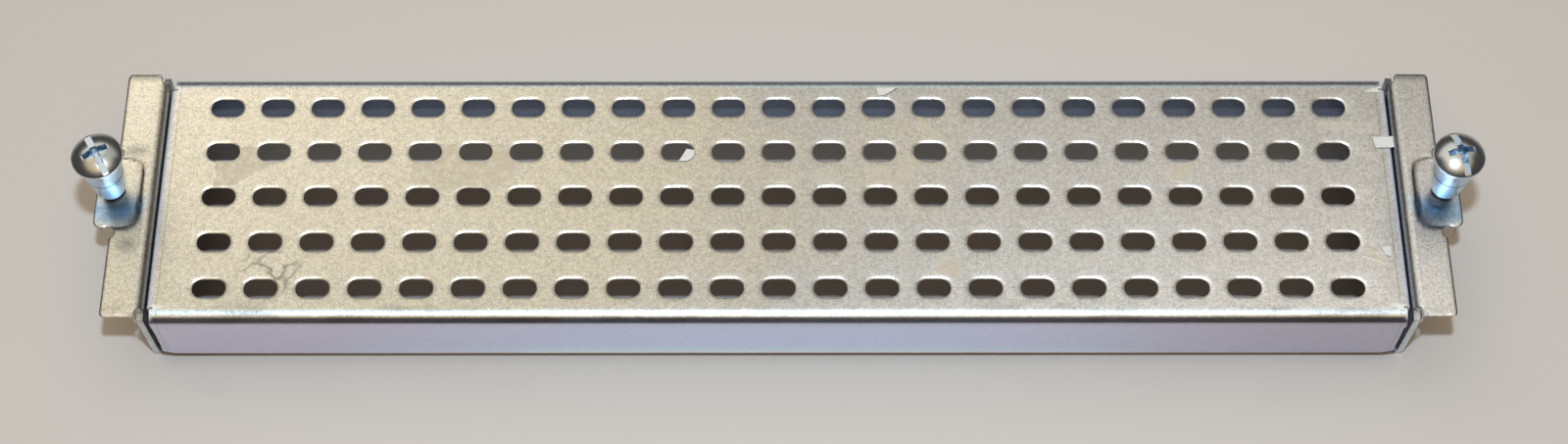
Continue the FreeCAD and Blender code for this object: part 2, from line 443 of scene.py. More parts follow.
class Effects:
    """Node groups that more than one finish uses, each made once."""

    coarser: float = 0.37
    fine_share: float = 0.65
    streak_draw: Triple = (1.0, 14.0, 14.0)
    cloud_cut: Fade = Fade(0.3, 0.7)
    streak_cut: Fade = Fade(0.62, 0.78)
    broad_wobble: float = 330.0
    fine_wobble: float = 1900.0
    patch_edge: Fade = Fade(-0.22, 0.12, 1.0, 0.0)

    def __init__(self) -> None:
        """Builds every group."""
        self.grain = self.make_grain()
        self.smear = self.make_smear()
        self.patch = self.make_patch()

    def make_grain(self) -> NodeTree:
        """Fine crystalline speckle: two sizes of noise, as a tone about one and a height."""
        sheet, given, leave = start_group("fine_grain", {"Scale": 3000.0, "Amount": 0.1}, ["Tone", "Height"])
        place = sheet.add("TexCoord").outputs["Object"]
        fine = sheet.noise(place, given["Scale"], 1.0)
        coarse = sheet.noise(place, sheet.times(given["Scale"], self.coarser), 1.0)
        height = sheet.times(coarse, 1 - self.fine_share)
        height = sheet.math("MULTIPLY_ADD", fine, self.fine_share, height)
        spread = sheet.times(sheet.math("SUBTRACT", height, 0.5), given["Amount"])
        sheet.feed(leave.inputs["Tone"], sheet.math("MULTIPLY_ADD", spread, 2.0, 1.0))
        sheet.feed(leave.inputs["Height"], height)
        return sheet.tree

    def make_smear(self) -> NodeTree:
        """Handling marks: broad soft clouds and thin streaks drawn out along X."""
        first = {"Cloud Scale": 40.0, "Streak Scale": 60.0}
        sheet, given, leave = start_group("handling", first, ["Cloud", "Streak"])
        place = sheet.add("TexCoord").outputs["Object"]
        cloud = sheet.noise(place, given["Cloud Scale"], 3.0, 0.6)
        drawn = sheet.vector("MULTIPLY", place, self.streak_draw)
        streak = sheet.noise(drawn, given["Streak Scale"], 3.0, 0.7)
        sheet.feed(leave.inputs["Cloud"], sheet.step(cloud, self.cloud_cut))
        sheet.feed(leave.inputs["Streak"], sheet.step(streak, self.streak_cut))
        return sheet.tree

    def make_patch(self) -> NodeTree:
        """A ragged four-sided patch on the XY plane: one inside the turned box, nought outside."""
        first = {"Centre": (0.0, 0.0, 0.0), "Half Size": (0.004, 0.002, 0.0), "Angle": 0.0, "Ragged": 0.0004}
        sheet, given, leave = start_group("ragged_patch", first, ["Mask"])
        place = sheet.add("TexCoord").outputs["Object"]
        turn = sheet.add("VectorRotate", rotation_type="Z_AXIS")
        sheet.feed(turn.inputs["Vector"], sheet.vector("SUBTRACT", place, given["Centre"]))
        sheet.feed(turn.inputs["Angle"], sheet.times(given["Angle"], -1.0))
        reach = sheet.vector("ABSOLUTE", turn.outputs[0])
        past_x, past_y, _ = sheet.axes(sheet.vector("SUBTRACT", reach, given["Half Size"]))
        broad = sheet.math("SUBTRACT", sheet.noise(place, self.broad_wobble, 4.0, 0.65), 0.5)
        fine = sheet.math("SUBTRACT", sheet.noise(place, self.fine_wobble, 3.0, 0.6), 0.5)
        wobble = sheet.times(sheet.math("MULTIPLY_ADD", fine, 0.5, broad), 5.0)
        edge = sheet.math("MULTIPLY_ADD", wobble, given["Ragged"], sheet.most(past_x, past_y))
        sheet.feed(leave.inputs["Mask"], sheet.fade(edge, self.patch_edge))
        return sheet.tree


def new_material(name: str) -> tuple[Material, NodeSheet, Node]:
    """Starts a material.

    Args:
        name: Name of the material.

    Returns:
        The material, the sheet of its node tree, and its Principled node.
    """
    material = bpy.data.materials.new(name)
    material.use_nodes = True
    return material, NodeSheet(material.node_tree), material.node_tree.nodes["Principled BSDF"]


@dataclass(frozen=True)
class Marks:
    """Outputs of the shared clouds, streaks and speckle, as sockets."""

    cloud: Socket
    streak: Socket
    tone: Socket
    height: Socket


@dataclass(frozen=True)
class Texture:
    """Cycles in a metre of a finish's clouds, streaks and speckle, and the speckle's strength."""

    cloud: float
    streak: float
    grain: float
    amount: float

    def on(self, sheet: NodeSheet, effects: Effects) -> Marks:
        """Places the shared groups on a sheet and returns their outputs."""
        smear = sheet.group(effects.smear, Cloud_Scale=self.cloud, Streak_Scale=self.streak).outputs
        grain = sheet.group(effects.grain, Scale=self.grain, Amount=self.amount).outputs
        return Marks(smear["Cloud"], smear["Streak"], grain["Tone"], grain["Height"])


@dataclass(frozen=True)
class ResiduePatch:
    """One patch of old label glue on the face.

    Attributes:
        x, y: Middle of the patch.
        half_x, half_y: Half its size before it is turned.
        angle: Turn in degrees.
        strength: How thick the glue is, from nought to one.
        trim: A second patch that cuts this one to a slant, if any.
    """

    x: float
    y: float
    half_x: float
    half_y: float
    angle: float = 0.0
    strength: float = 1.0
    trim: "ResiduePatch | None" = None

    def mask(self, sheet: NodeSheet, effects: Effects) -> Socket:
        """The patch as a mask as strong as its glue, cut to its slant if it has one.

        Args:
            sheet: The material's sheet.
            effects: The shared groups.

        Returns:
            The mask.
        """
        box = sheet.group(effects.patch, Centre=(self.x * MM, self.y * MM, 0.0),
                          Half_Size=(self.half_x * MM, self.half_y * MM, 0.0), Angle=math.radians(self.angle))
        mask = sheet.times(box.outputs["Mask"], self.strength)
        return mask if self.trim is None else sheet.times(mask, self.trim.mask(sheet, effects))


@dataclass(frozen=True)
class Blot:
    """A soft round mark on the XY plane, by its middle and its half sizes."""

    x: float
    y: float
    half_x: float
    half_y: float

    def reach(self, sheet: NodeSheet, place: Socket) -> Socket:
        """Distance of a place from the mark's middle, where one is the mark's border."""
        away = sheet.vector("SUBTRACT", place, (self.x * MM, self.y * MM, 0.0))
        shares = sheet.vector("MULTIPLY", away, (1 / (self.half_x * MM), 1 / (self.half_y * MM), 0.0))
        return sheet.vector("LENGTH", shares)


@dataclass(frozen=True)
class Spot:
    """Coordinates of the shaded point as sockets, in metres.

    Attributes:
        place: All three together.
        x, y, z: Each by itself.
        out: How far X is from nought.
        away: How far Y is from nought.
    """

    place: Socket
    x: Socket
    y: Socket
    z: Socket
    out: Socket
    away: Socket

    @classmethod
    def on(cls, sheet: NodeSheet) -> "Spot":
        """The object coordinates of the point, read on the given sheet."""
        place = sheet.add("TexCoord").outputs["Object"]
        x, y, z = sheet.axes(place)
        return cls(place, x, y, z, sheet.math("ABSOLUTE", x), sheet.math("ABSOLUTE", y))

    def squared_from(self, sheet: NodeSheet, x: float) -> Socket:
        """Square of the point's distance from an upright axis that stands at an X on either side."""
        across = sheet.math("SUBTRACT", self.out, x * MM)
        return sheet.math("ADD", sheet.math("POWER", across, 2.0), sheet.math("POWER", self.y, 2.0))


@dataclass(frozen=True)
class PlatedSheet:
    """Finish of the folded sheet: speckled zinc, blue where it faces sideways, with glue left by old labels.

    The colours come first, then the marks on the face, then the fades, which say where each effect starts and
    ends. Those that belong to a bend, an edge or a wall are counted from it. Several colours and masks are
    painted light and shade: a brightness slant, shade at the ends, highlights, and the pads' blue reflection.
    """

    # Colours.
    warm: RGBA = (0.72, 0.70, 0.63, 1.0)
    cool: RGBA = (0.64, 0.655, 0.68, 1.0)
    wall: RGBA = (0.69, 0.74, 0.97, 1.0)
    wall_end: RGBA = (0.68, 0.67, 0.82, 1.0)
    # Painted reflection and highlight: blue low on the walls and on the long bends.
    painted_sheen: RGBA = (0.68, 0.84, 1.0, 1.0)
    # Painted highlight: the walls' bright strip and the cut faces that face the front.
    painted_glint: RGBA = (0.86, 0.95, 1.0, 1.0)
    blush: RGBA = (0.80, 0.66, 0.80, 1.0)
    # Painted reflection of the screws' blue collars on the pads.
    painted_pad_reflection: RGBA = (0.36, 0.60, 0.92, 1.0)
    # Bare metal at cut edges, also a painted highlight on the slots' rims.
    bare_and_highlight: RGBA = (0.95, 0.94, 0.91, 1.0)
    glue: RGBA = (0.62, 0.52, 0.37, 1.0)
    haze: RGBA = (0.68, 0.64, 0.56, 1.0)
    # Dark colour of streaks, scuffs and scored lines, also painted shade along the walls' feet.
    dark_mark: RGBA = (0.26, 0.25, 0.24, 1.0)
    # Painted shade, at the ends and low on the rear bend.
    painted_shade: RGBA = (0.15, 0.18, 0.20, 1.0)

    # Marks on the face.
    residue: tuple[ResiduePatch, ...] = (
        ResiduePatch(-79.3, 5.1, 5.4, 3.4, trim=ResiduePatch(-80.15, 6.67, 9.5, 3.4, 29.0)),
        ResiduePatch(-47.0, 4.9, 8.2, 3.9, trim=ResiduePatch(-47.0, 4.9, 9.5, 5.6, 35.0)),
        ResiduePatch(-44.5, 3.2, 3.6, 2.2, 8.0, 0.9),
        ResiduePatch(0.8, 3.1, 2.6, 0.9, 0.0, 0.6),
        ResiduePatch(7.4, 3.6, 1.9, 1.5, 20.0, 0.6),
        ResiduePatch(15.2, 3.6, 2.0, 1.8, 0.0, 0.8),
        ResiduePatch(19.2, 3.8, 1.2, 3.2, -30.0, 0.9),
        ResiduePatch(22.4, 11.7, 2.2, 0.9, -45.0, 0.9),
        ResiduePatch(25.2, -11.6, 1.9, 1.8, -20.0, 0.9),
        ResiduePatch(45.3, -10.6, 2.1, 1.2, 0.0, 0.6),
        ResiduePatch(60.5, 4.1, 2.0, 1.5, 10.0, 0.9),
        ResiduePatch(86.0, 12.0, 4.6, 0.9, -3.0, 0.7),
        ResiduePatch(88.6, -9.8, 1.7, 0.7, -25.0, 0.95),
    )
    # Two soft dark blots on the left ear beside its pad: painted shade.
    painted_dark_blots: tuple[Blot, ...] = (Blot(-96.4, 7.1, 3.03, 1.79), Blot(-96.3, -8.8, 2.38, 1.92))
    scuffed: Blot = Blot(-75.0, -12.5, 5.88, 5.0)

    # Scales of the noises, in cycles for each metre.
    texture: Texture = Texture(28.0, 45.0, 4000.0, 0.8)
    drift_scale: float = 45.0
    drift_stretch: Triple = (1.0, 1.0, 2.0)
    swirl_scale: float = 240.0
    smear_scale: float = 420.0
    smear_stretch: Triple = (0.3, 1.0, 1.0)
    patchy_scale: float = 700.0

    # Drift of the plating's colour, and its tone as painted light and shade.
    cloud_drift: float = 50.0
    warm_to_cool: Fade = Fade(-20.0, 60.0)
    painted_light_slant: float = -104.5
    painted_light_rise: float = 3.3
    painted_light_middle: float = 0.79

    # The walls, by the height over their foot and by X, with painted reflection, highlight and shade.
    wall_drift: float = 30.0
    wall_blue: Fade = Fade(30.0, 90.0, 1.0, 0.0)
    # Painted reflection: bluer low on the walls.
    painted_low_reflection: Fade = Fade(0.5, 5.0, 1.0, 0.0)
    # Painted highlight: a bright strip just above the foot.
    painted_highlight_strip: Fade = Fade(0.9, 1.9, 0.8, 0.0)
    wall_line_height: float = 0.6
    wall_line: Fade = Fade(0.1, 0.4, 0.6, 0.0)
    wall_line_cut: Fade = Fade(0.42, 0.58)
    # Painted shade along the foot, and towards the right end.
    painted_foot_shade: Fade = Fade(0.1, 0.3, 0.75, 0.0)
    painted_right_shade: Fade = Fade(30.0, 90.0, 1.0, 0.82)

    # Dark marks.
    score_end: Fade = Fade(-0.5, 0.0, 1.0, 0.0)
    row_score: Fade = Fade(0.03, 0.11, 0.25, 0.0)
    end_score: Fade = Fade(0.03, 0.12, 0.45, 0.0)
    end_score_inset: float = 0.2
    scuff_reach: Fade = Fade(0.35, 1.1, 0.8, 0.0)
    swirl_cut: Fade = Fade(0.006, 0.06, 1.0, 0.0)
    smear_front: Fade = Fade(-19.3, -16.6, 0.4, 0.0)
    smear_high: Fade = Fade(-1.6, -0.6)
    smear_cut: Fade = Fade(0.48, 0.68)

    # Painted shade at the ends and on the pads' slopes, and the pads' painted blue reflection.
    past_fold: Fade = Fade(-0.1, -0.03)
    fold_soft: Fade = Fade(0.0, 1.9, 0.45, 0.0)
    fold_deep: Fade = Fade(0.1, 0.8, 0.65, 0.0)
    ear_rim: Fade = Fade(-0.6, -0.1, 0.0, 0.75)
    past_tab: Fade = Fade(0.6, 1.0)
    tab_rim: Fade = Fade(-0.5, -0.1, 0.0, 0.6)
    pad_slope: Fade = Fade(-1.0, -0.7)
    pad_side: Fade = Fade(1.2, 1.5, 0.6, 0.0)
    dark_blot_reach: Fade = Fade(0.0, 1.0, 0.5, 0.0)
    # Pads round the screws: more polished, and with a painted blue reflection at their front.
    pressed_reach: Fade = Fade(3.6, 6.6, 1.0, 0.0)
    pressed_front: Fade = Fade(-2.8, 0.8, 1.0, 0.0)

    # Parts of the sheet, counted from its bends, ends and heights.
    inside_end: Fade = Fade(0.03, 0.1, 1.0, 0.0)
    film_start: Fade = Fade(0.8, 1.8)
    end_start: Fade = Fade(0.1, 0.9)
    # Painted highlight: the long bends turn blue-white where the lamp's highlight falls.
    long_bend: Fade = Fade(-0.2, 0.5, 0.0, 0.8)
    # Painted shade low on the rear bend.
    rear_high: Fade = Fade(-1.9, -1.2, 0.0, 0.6)
    rear_bend: Fade = Fade(0.2, 1.5)
    ear_bend: Fade = Fade(0.0, 0.6, 1.0, 0.0)
    raised: Fade = Fade(10.3, 11.7)
    face_top: Fade = Fade(-0.35, -0.1)
    rim_top: Fade = Fade(-0.9, -0.4, 0.0, 0.75)
    pale_top: Fade = Fade(-0.9, -0.5)
    off_bend: Fade = Fade(-0.8, -0.3, 1.0, 0.0)

    # Slopes, cut edges and patches, over plain values.
    tilt: Fade = Fade(0.80, 0.975, 1.0, 0.0)
    not_far: Fade = Fade(-0.3, -0.1)
    # Cut faces that face the front get a painted highlight.
    front_cut: Fade = Fade(-0.9, -0.6, 0.6, 0.0)
    rim_cut: Fade = Fade(0.2, 0.7)
    patchy: Fade = Fade(0.38, 0.58, 0.5, 1.0)

    # Shares of the layers, metal, roughness and bump.
    streak_share: float = 0.1
    end_share: float = 0.7
    pad_reflection_share: float = 0.9
    glue_share: float = 0.75
    near_rim_highlight_share: float = 0.9
    side_speckle: float = 0.25
    dulled: float = -0.7
    pressed_polish: float = 0.5
    ear_bend_polish: float = -0.6
    rough: float = 0.36
    rough_cloud: float = 0.06
    rough_worked: float = -0.21
    rough_rim: float = 0.2
    rough_glue: float = 0.3
    bump: float = 0.45
    bump_worked: float = -0.32
    bump_depth: float = 0.07
    glue_height: float = 0.8

    def plating(self, sheet: NodeSheet, spot: Spot, cloud: Socket) -> Socket:
        """Colour of the flat plating, warm at the left and grey at the right, under painted light and shade.

        Args:
            sheet: The material's sheet.
            spot: The shaded point.
            cloud: Broad soft clouds from nought to one.

        Returns:
            The colour.
        """
        wander = sheet.math("MULTIPLY_ADD", cloud, self.cloud_drift * MM, spot.x)
        colour = sheet.mix(sheet.fade(wander, self.warm_to_cool), self.warm, self.cool)
        # Painted light and shade: brighter at the ends than in the middle, and at the left rear and right
        # front.
        tone = sheet.math("MULTIPLY_ADD", spot.out, self.painted_light_rise, self.painted_light_middle)
        return sheet.toned(colour, sheet.math("ADD", tone, sheet.times(spot.x, spot.y, self.painted_light_slant)))

    def wall_colour_and_light(self, sheet: NodeSheet, spot: Spot, panel: "FoldedPanel") -> Socket:
        """Colour of the walls: lavender ends, bluer between, a pink line, and painted light and shade.

        Args:
            sheet: The material's sheet.
            spot: The shaded point.
            panel: The panel, for the height of the wall's foot.

        Returns:
            The colour.
        """
        drift = sheet.noise(sheet.vector("MULTIPLY", spot.place, self.drift_stretch), self.drift_scale)
        height = sheet.math("SUBTRACT", spot.z, panel.wall_lift * MM)
        middle = sheet.fade(sheet.math("MULTIPLY_ADD", drift, self.wall_drift * MM, spot.out), self.wall_blue)
        pink = sheet.fade(sheet.distance(height, self.wall_line_height), self.wall_line)
        layers = (
            (middle, self.wall),
            # Painted reflection: bluer low down.
            (sheet.times(sheet.fade(height, self.painted_low_reflection), middle), self.painted_sheen),
            # Painted highlight: a bright strip just above the foot.
            (sheet.times(sheet.fade(height, self.painted_highlight_strip), middle), self.painted_glint),
            (sheet.times(pink, sheet.step(drift, self.wall_line_cut)), self.blush),
            # Painted shade along the foot.
            (sheet.fade(height, self.painted_foot_shade), self.dark_mark),
        )
        # Painted shade: darker towards the right end.
        return sheet.toned(sheet.layered(self.wall_end, layers), sheet.fade(spot.x, self.painted_right_shade))

    def soil(self, sheet: NodeSheet, spot: Spot, panel: "FoldedPanel") -> Socket:
        """Mask of the dark marks: scored lines, a scuffed place at the left, and smears by the front bend.

        Args:
            sheet: The material's sheet.
            spot: The shaded point.
            panel: The panel, for the places of its rows and bends.

        Returns:
            The mask.
        """
        flat = panel.half_width - panel.bend
        last_row = panel.pitch * (panel.rows - 1) / 2
        rows = sheet.times(sheet.fade(sheet.distance(spot.away, last_row), self.row_score),
                           sheet.fade(spot.out, self.score_end, flat))
        ends = sheet.fade(sheet.distance(spot.out, flat - self.end_score_inset), self.end_score)
        swirl = sheet.math("SUBTRACT", sheet.noise(spot.place, self.swirl_scale), 0.5)
        dark_mark = sheet.times(sheet.step(self.scuffed.reach(sheet, spot.place), self.scuff_reach),
                            sheet.step(sheet.math("ABSOLUTE", swirl), self.swirl_cut))
        drawn = sheet.vector("MULTIPLY", spot.place, self.smear_stretch)
        smear = sheet.times(sheet.step(sheet.noise(drawn, self.smear_scale, 3.0, 0.6), self.smear_cut),
                            sheet.fade(spot.y, self.smear_front),
                            sheet.fade(spot.z, self.smear_high, panel.face_height))
        return sheet.most(rows, ends, dark_mark, smear)

    def ends_shade(self, sheet: NodeSheet, spot: Spot, panel: "FoldedPanel",
                   tilted: Socket) -> Socket:
        """Mask of painted shade at the ends: down the folds, on the ears' edges, the pads' slopes and two
        blots.

        Args:
            sheet: The material's sheet.
            spot: The shaded point.
            panel: The panel, for the places of its ears and pads.
            tilted: One where the sheet slopes.

        Returns:
            The mask.
        """
        leg = panel.half_width + panel.hem_gap
        fold = sheet.most(*(sheet.fade(spot.out, part, leg) for part in (self.fold_soft, self.fold_deep)))
        fold = sheet.times(fold, sheet.fade(spot.out, self.past_fold, leg))
        ear = sheet.times(sheet.fade(spot.out, self.ear_rim, panel.ear_edge),
                          sheet.fade(spot.away, self.past_tab, panel.tab_half))
        tab = sheet.fade(spot.out, self.tab_rim, panel.tab_edge)
        slope = sheet.times(tilted, sheet.fade(spot.out, self.pad_slope, panel.pad_inner_edge),
                            sheet.fade(spot.away, self.pad_side, panel.tab_half))
        # Two soft dark blots beside the left pad: painted shade.
        painted_dark_blots = [sheet.step(dent.reach(sheet, spot.place), self.dark_blot_reach) for dent in self.painted_dark_blots]
        return sheet.most(fold, ear, tab, slope, *painted_dark_blots)

    def material(self, effects: Effects, panel: "FoldedPanel") -> Material:
        """Builds the finish.

        Args:
            effects: The shared groups.
            panel: The panel, for the places of its walls, bends and pads.

        Returns:
            The material.
        """
        material, sheet, shader = new_material("plated_sheet")
        spot = Spot.on(sheet)
        marks = self.texture.on(sheet, effects)
        flat_y = panel.half_depth - panel.wall_bend
        _, facing_y, facing_z = sheet.axes(sheet.add("TexCoord").outputs["Normal"])

        # Masks of the parts of the sheet.
        inside = sheet.fade(spot.out, self.inside_end, panel.half_width)
        outside = sheet.without(inside)
        side = sheet.times(sheet.fade(spot.away, self.film_start, flat_y), inside)
        end_bend = sheet.times(sheet.fade(spot.out, self.end_start, panel.half_width - panel.bend), inside)
        # Pads round the screws: more polished, and with a painted blue reflection at their front.
        pad_polish_and_reflection = sheet.fade(sheet.math("SQRT", spot.squared_from(sheet, panel.screw_x)), self.pressed_reach)
        pad_polish_and_reflection = sheet.times(pad_polish_and_reflection, sheet.fade(spot.y, self.pressed_front))
        on_face = sheet.times(inside, sheet.fade(spot.z, self.face_top, panel.face_height))
        tilted = sheet.step(facing_z, self.tilt)
        rim = sheet.step(sheet.add("Attribute", attribute_name="rim").outputs["Fac"], self.rim_cut)
        # Painted highlight on the slots' near rims, by which way they face.
        painted_near_rim_highlight = sheet.times(tilted, sheet.step(facing_y, self.not_far), on_face,
                               sheet.fade(spot.away, self.off_bend, flat_y), self.near_rim_highlight_share)
        # Bare metal along the cut edges, brightened into a painted highlight, with the near rims' highlight.
        worn_and_painted_light = sheet.times(rim, sheet.fade(spot.z, self.rim_top, panel.face_height), inside)
        worn_and_painted_light = sheet.most(worn_and_painted_light, painted_near_rim_highlight)
        glue = sheet.most(*(patch.mask(sheet, effects) for patch in self.residue))
        patchy = sheet.step(sheet.noise(spot.place, self.patchy_scale, 4.0, 0.65), self.patchy)
        glue = sheet.times(glue, on_face, patchy)

        # Colour, in layers from the bare plating up.
        # Painted shade low on the rear bend.
        rear = sheet.times(sheet.fade(spot.z, self.rear_high, panel.face_height),
                           sheet.fade(spot.y, self.rear_bend, flat_y))
        colour = sheet.layered(self.plating(sheet, spot, marks.cloud), (
            (sheet.times(marks.streak, self.streak_share, sheet.without(side)), self.dark_mark),
            # Painted shade at the ends.
            (self.ends_shade(sheet, spot, panel, tilted), self.painted_shade),
            # Painted highlight on the cut faces that face the front.
            (sheet.times(sheet.step(facing_y, self.front_cut), outside), self.painted_glint),
            # Painted reflection: the end bends take the walls' colour.
            (sheet.times(end_bend, self.end_share), self.wall),
            # Painted highlight tint on the long bends.
            (sheet.times(sheet.fade(spot.away, self.long_bend, flat_y), inside), self.painted_sheen),
            (side, self.wall_colour_and_light(sheet, spot, panel)),
            (rear, self.painted_shade),
            # Painted reflection of the collars on the pads' fronts.
            (sheet.times(pad_polish_and_reflection, self.pad_reflection_share), self.painted_pad_reflection),
            (self.soil(sheet, spot, panel), self.dark_mark),
        ))
        speckle = sheet.math("MULTIPLY_ADD", side, self.side_speckle - 1.0, 1.0)
        colour = sheet.layered(sheet.toned(colour, marks.tone, speckle), (
            # Pale bare metal and painted highlight on the rims.
            (worn_and_painted_light, self.bare_and_highlight),
            (sheet.times(glue, self.glue_share), sheet.mix(glue, self.haze, self.glue)),
        ))
        sheet.feed(shader.inputs["Base Color"], colour)

        # Metal, roughness and bump. Worked places, such as bends and pressed pads, shine more.
        pale = sheet.times(end_bend, sheet.fade(spot.z, self.pale_top, panel.face_height))
        metal = sheet.math("MULTIPLY_ADD", sheet.most(worn_and_painted_light, pale), self.dulled, 1.0)
        metal = sheet.math("MULTIPLY_ADD", glue, self.dulled, metal, clamp=True)
        sheet.feed(shader.inputs["Metallic"], metal)
        ear_start = panel.half_width + panel.hem_gap + panel.bend
        ear_bend = sheet.times(outside, sheet.fade(spot.out, self.ear_bend, ear_start))
        unbent = sheet.math("MULTIPLY_ADD", ear_bend, self.ear_bend_polish, 1.0)
        high = sheet.most(sheet.fade(spot.z, self.raised), side)
        bent = sheet.times(tilted, high, unbent, sheet.without(rim))
        worked = sheet.most(bent, sheet.times(pad_polish_and_reflection, self.pressed_polish))
        rough = sheet.math("MULTIPLY_ADD", marks.cloud, self.rough_cloud, self.rough)
        for mask, change in ((worked, self.rough_worked), (rim, self.rough_rim)):
            rough = sheet.math("MULTIPLY_ADD", mask, change, rough)
        rough = sheet.math("MULTIPLY_ADD", glue, self.rough_glue, rough, clamp=True)
        sheet.feed(shader.inputs["Roughness"], rough)
        height = sheet.math("MULTIPLY_ADD", glue, self.glue_height, marks.height)
        strength = sheet.math("MULTIPLY_ADD", worked, self.bump_worked, self.bump)
        sheet.bump(shader, height, strength, self.bump_depth)
        return material


@dataclass(frozen=True)
class ShadedInside:
    """Finish of the sheet's other side: painted shade and dust in the pan, bluer walls, plain past its ends.
    """

    # Painted shade: dark zinc inside the pan, with darker clouds of dust.
    painted_shade_zinc: RGBA = (0.115, 0.108, 0.103, 1.0)
    shaded_dust: RGBA = (0.075, 0.068, 0.063, 1.0)
    # Painted light: the insides of the walls, paler and bluer.
    wall: RGBA = (0.45, 0.51, 0.67, 1.0)
    outer: RGBA = (0.62, 0.62, 0.61, 1.0)
    texture: Texture = Texture(60.0, 80.0, 2700.0, 0.3)
    wall_start: Fade = Fade(-2.0, -1.2)
    past_leg: Fade = Fade(0.5, 0.8)
    rough: float = 0.5
    rough_streak: float = 0.1
    metal: float = 0.85

    def material(self, effects: Effects, panel: "FoldedPanel") -> Material:
        """Builds the finish.

        Args:
            effects: The shared groups.
            panel: The panel, for the place of its walls.

        Returns:
            The material.
        """
        material, sheet, shader = new_material("dull_inside")
        spot = Spot.on(sheet)
        marks = self.texture.on(sheet, effects)
        colour = sheet.layered(self.painted_shade_zinc, (
            (marks.cloud, self.shaded_dust),
            (sheet.fade(spot.away, self.wall_start, panel.half_depth), self.wall),
            (sheet.fade(spot.out, self.past_leg, panel.half_width + panel.hem_gap), self.outer),
        ))
        sheet.feed(shader.inputs["Base Color"], sheet.toned(colour, marks.tone))
        rough = sheet.math("MULTIPLY_ADD", marks.streak, self.rough_streak, self.rough)
        sheet.feed(shader.inputs["Roughness"], rough)
        shader.inputs["Metallic"].default_value = self.metal
        return material


@dataclass(frozen=True)
class TurnedBright:
    """Finish of the screws: blue-white plating over lathe lines, a greyer polished dome and a blue recess."""

    plating: RGBA = (0.58, 0.72, 0.88, 1.0)
    shade: RGBA = (0.46, 0.58, 0.72, 1.0)
    polish: RGBA = (0.58, 0.65, 0.72, 1.0)
    recess: RGBA = (0.62, 0.74, 0.88, 1.0)
    # Painted shade along the groove round the collar.
    groove_shade: RGBA = (0.10, 0.12, 0.15, 1.0)
    texture: Texture = Texture(420.0, 900.0, 5000.0, 0.08)
    lathe_scale: float = 9000.0
    shade_share: float = 0.45
    recess_start: Fade = Fade(0.04, 0.2)
    head_start: Fade = Fade(0.0, 0.1)
    seam_line: Fade = Fade(0.04, 0.13, 0.8, 0.0)
    rough: float = 0.25
    rough_streak: float = 0.08
    rough_head: float = -0.05
    rough_lathe: float = 0.06
    bump: float = 0.1
    bump_depth: float = 0.02

    def recess_mask(self, sheet: NodeSheet, spot: Spot, screw: "CaptiveScrew") -> Socket:
        """One where the point lies below the dome, which is a ball's cap about the screw's axis.

        Args:
            sheet: The material's sheet.
            spot: The shaded point.
            screw: A screw, for the size and place of its dome.

        Returns:
            The mask.
        """
        squares = spot.squared_from(sheet, abs(screw.x))
        cap = sheet.math("SQRT", sheet.math("SUBTRACT", (screw.dome * MM) ** 2, squares))
        dome = sheet.math("ADD", cap, (screw.top - screw.dome) * MM)
        return sheet.fade(sheet.math("SUBTRACT", dome, spot.z), self.recess_start)

    def material(self, effects: Effects, screw: "CaptiveScrew") -> Material:
        """Builds the finish.

        Args:
            effects: The shared groups.
            screw: A screw, for the size and place of its dome.

        Returns:
            The material.
        """
        material, sheet, shader = new_material("screw_plating")
        spot = Spot.on(sheet)
        marks = self.texture.on(sheet, effects)
        lathe = sheet.noise(sheet.vector("MULTIPLY", spot.place, (0.0, 0.0, 1.0)), self.lathe_scale)
        under_head = screw.top - screw.dome_rise - screw.rim
        head = sheet.fade(spot.z, self.head_start, under_head)
        from_line = sheet.distance(spot.z, under_head - screw.collar_length)
        crown = sheet.mix(self.recess_mask(sheet, spot, screw), self.polish, self.recess)
        colour = sheet.layered(self.plating, (
            (sheet.times(marks.cloud, self.shade_share), self.shade),
            # Painted shade in the collar's groove.
            (sheet.fade(from_line, self.seam_line), self.groove_shade),
            (head, crown),
        ))
        sheet.feed(shader.inputs["Base Color"], sheet.toned(colour, marks.tone))
        shader.inputs["Metallic"].default_value = 1.0
        rough = sheet.math("MULTIPLY_ADD", marks.streak, self.rough_streak, self.rough)
        for mask, change in ((head, self.rough_head), (lathe, self.rough_lathe)):
            rough = sheet.math("MULTIPLY_ADD", mask, change, rough)
        sheet.feed(shader.inputs["Roughness"], rough)
        sheet.bump(shader, lathe, self.bump, self.bump_depth)
        return material


@dataclass(frozen=True)
class DrawnWire:
    """Finish of the springs: drawn wire painted near black as shade, with paler worn patches."""

    # Painted shade: the coils sit in shadow under the collar.
    wire: RGBA = (0.055, 0.055, 0.06, 1.0)
    # Worn patches, kept dark by the same painted shade.
    worn_and_painted_light: RGBA = (0.20, 0.20, 0.215, 1.0)
    texture: Texture = Texture(900.0, 1500.0, 9000.0, 0.2)
    worn_share: float = 0.7
    rough: float = 0.28
    rough_streak: float = 0.2

    def material(self, effects: Effects) -> Material:
        """Builds the finish with the shared groups and returns it."""
        material, sheet, shader = new_material("drawn_wire")
        marks = self.texture.on(sheet, effects)
        colour = sheet.mix(sheet.times(marks.cloud, self.worn_share), self.wire, self.worn_and_painted_light)
        sheet.feed(shader.inputs["Base Color"], sheet.toned(colour, marks.tone))
        shader.inputs["Metallic"].default_value = 1.0
        rough = sheet.math("MULTIPLY_ADD", marks.streak, self.rough_streak, self.rough)
        sheet.feed(shader.inputs["Roughness"], rough)
        return material


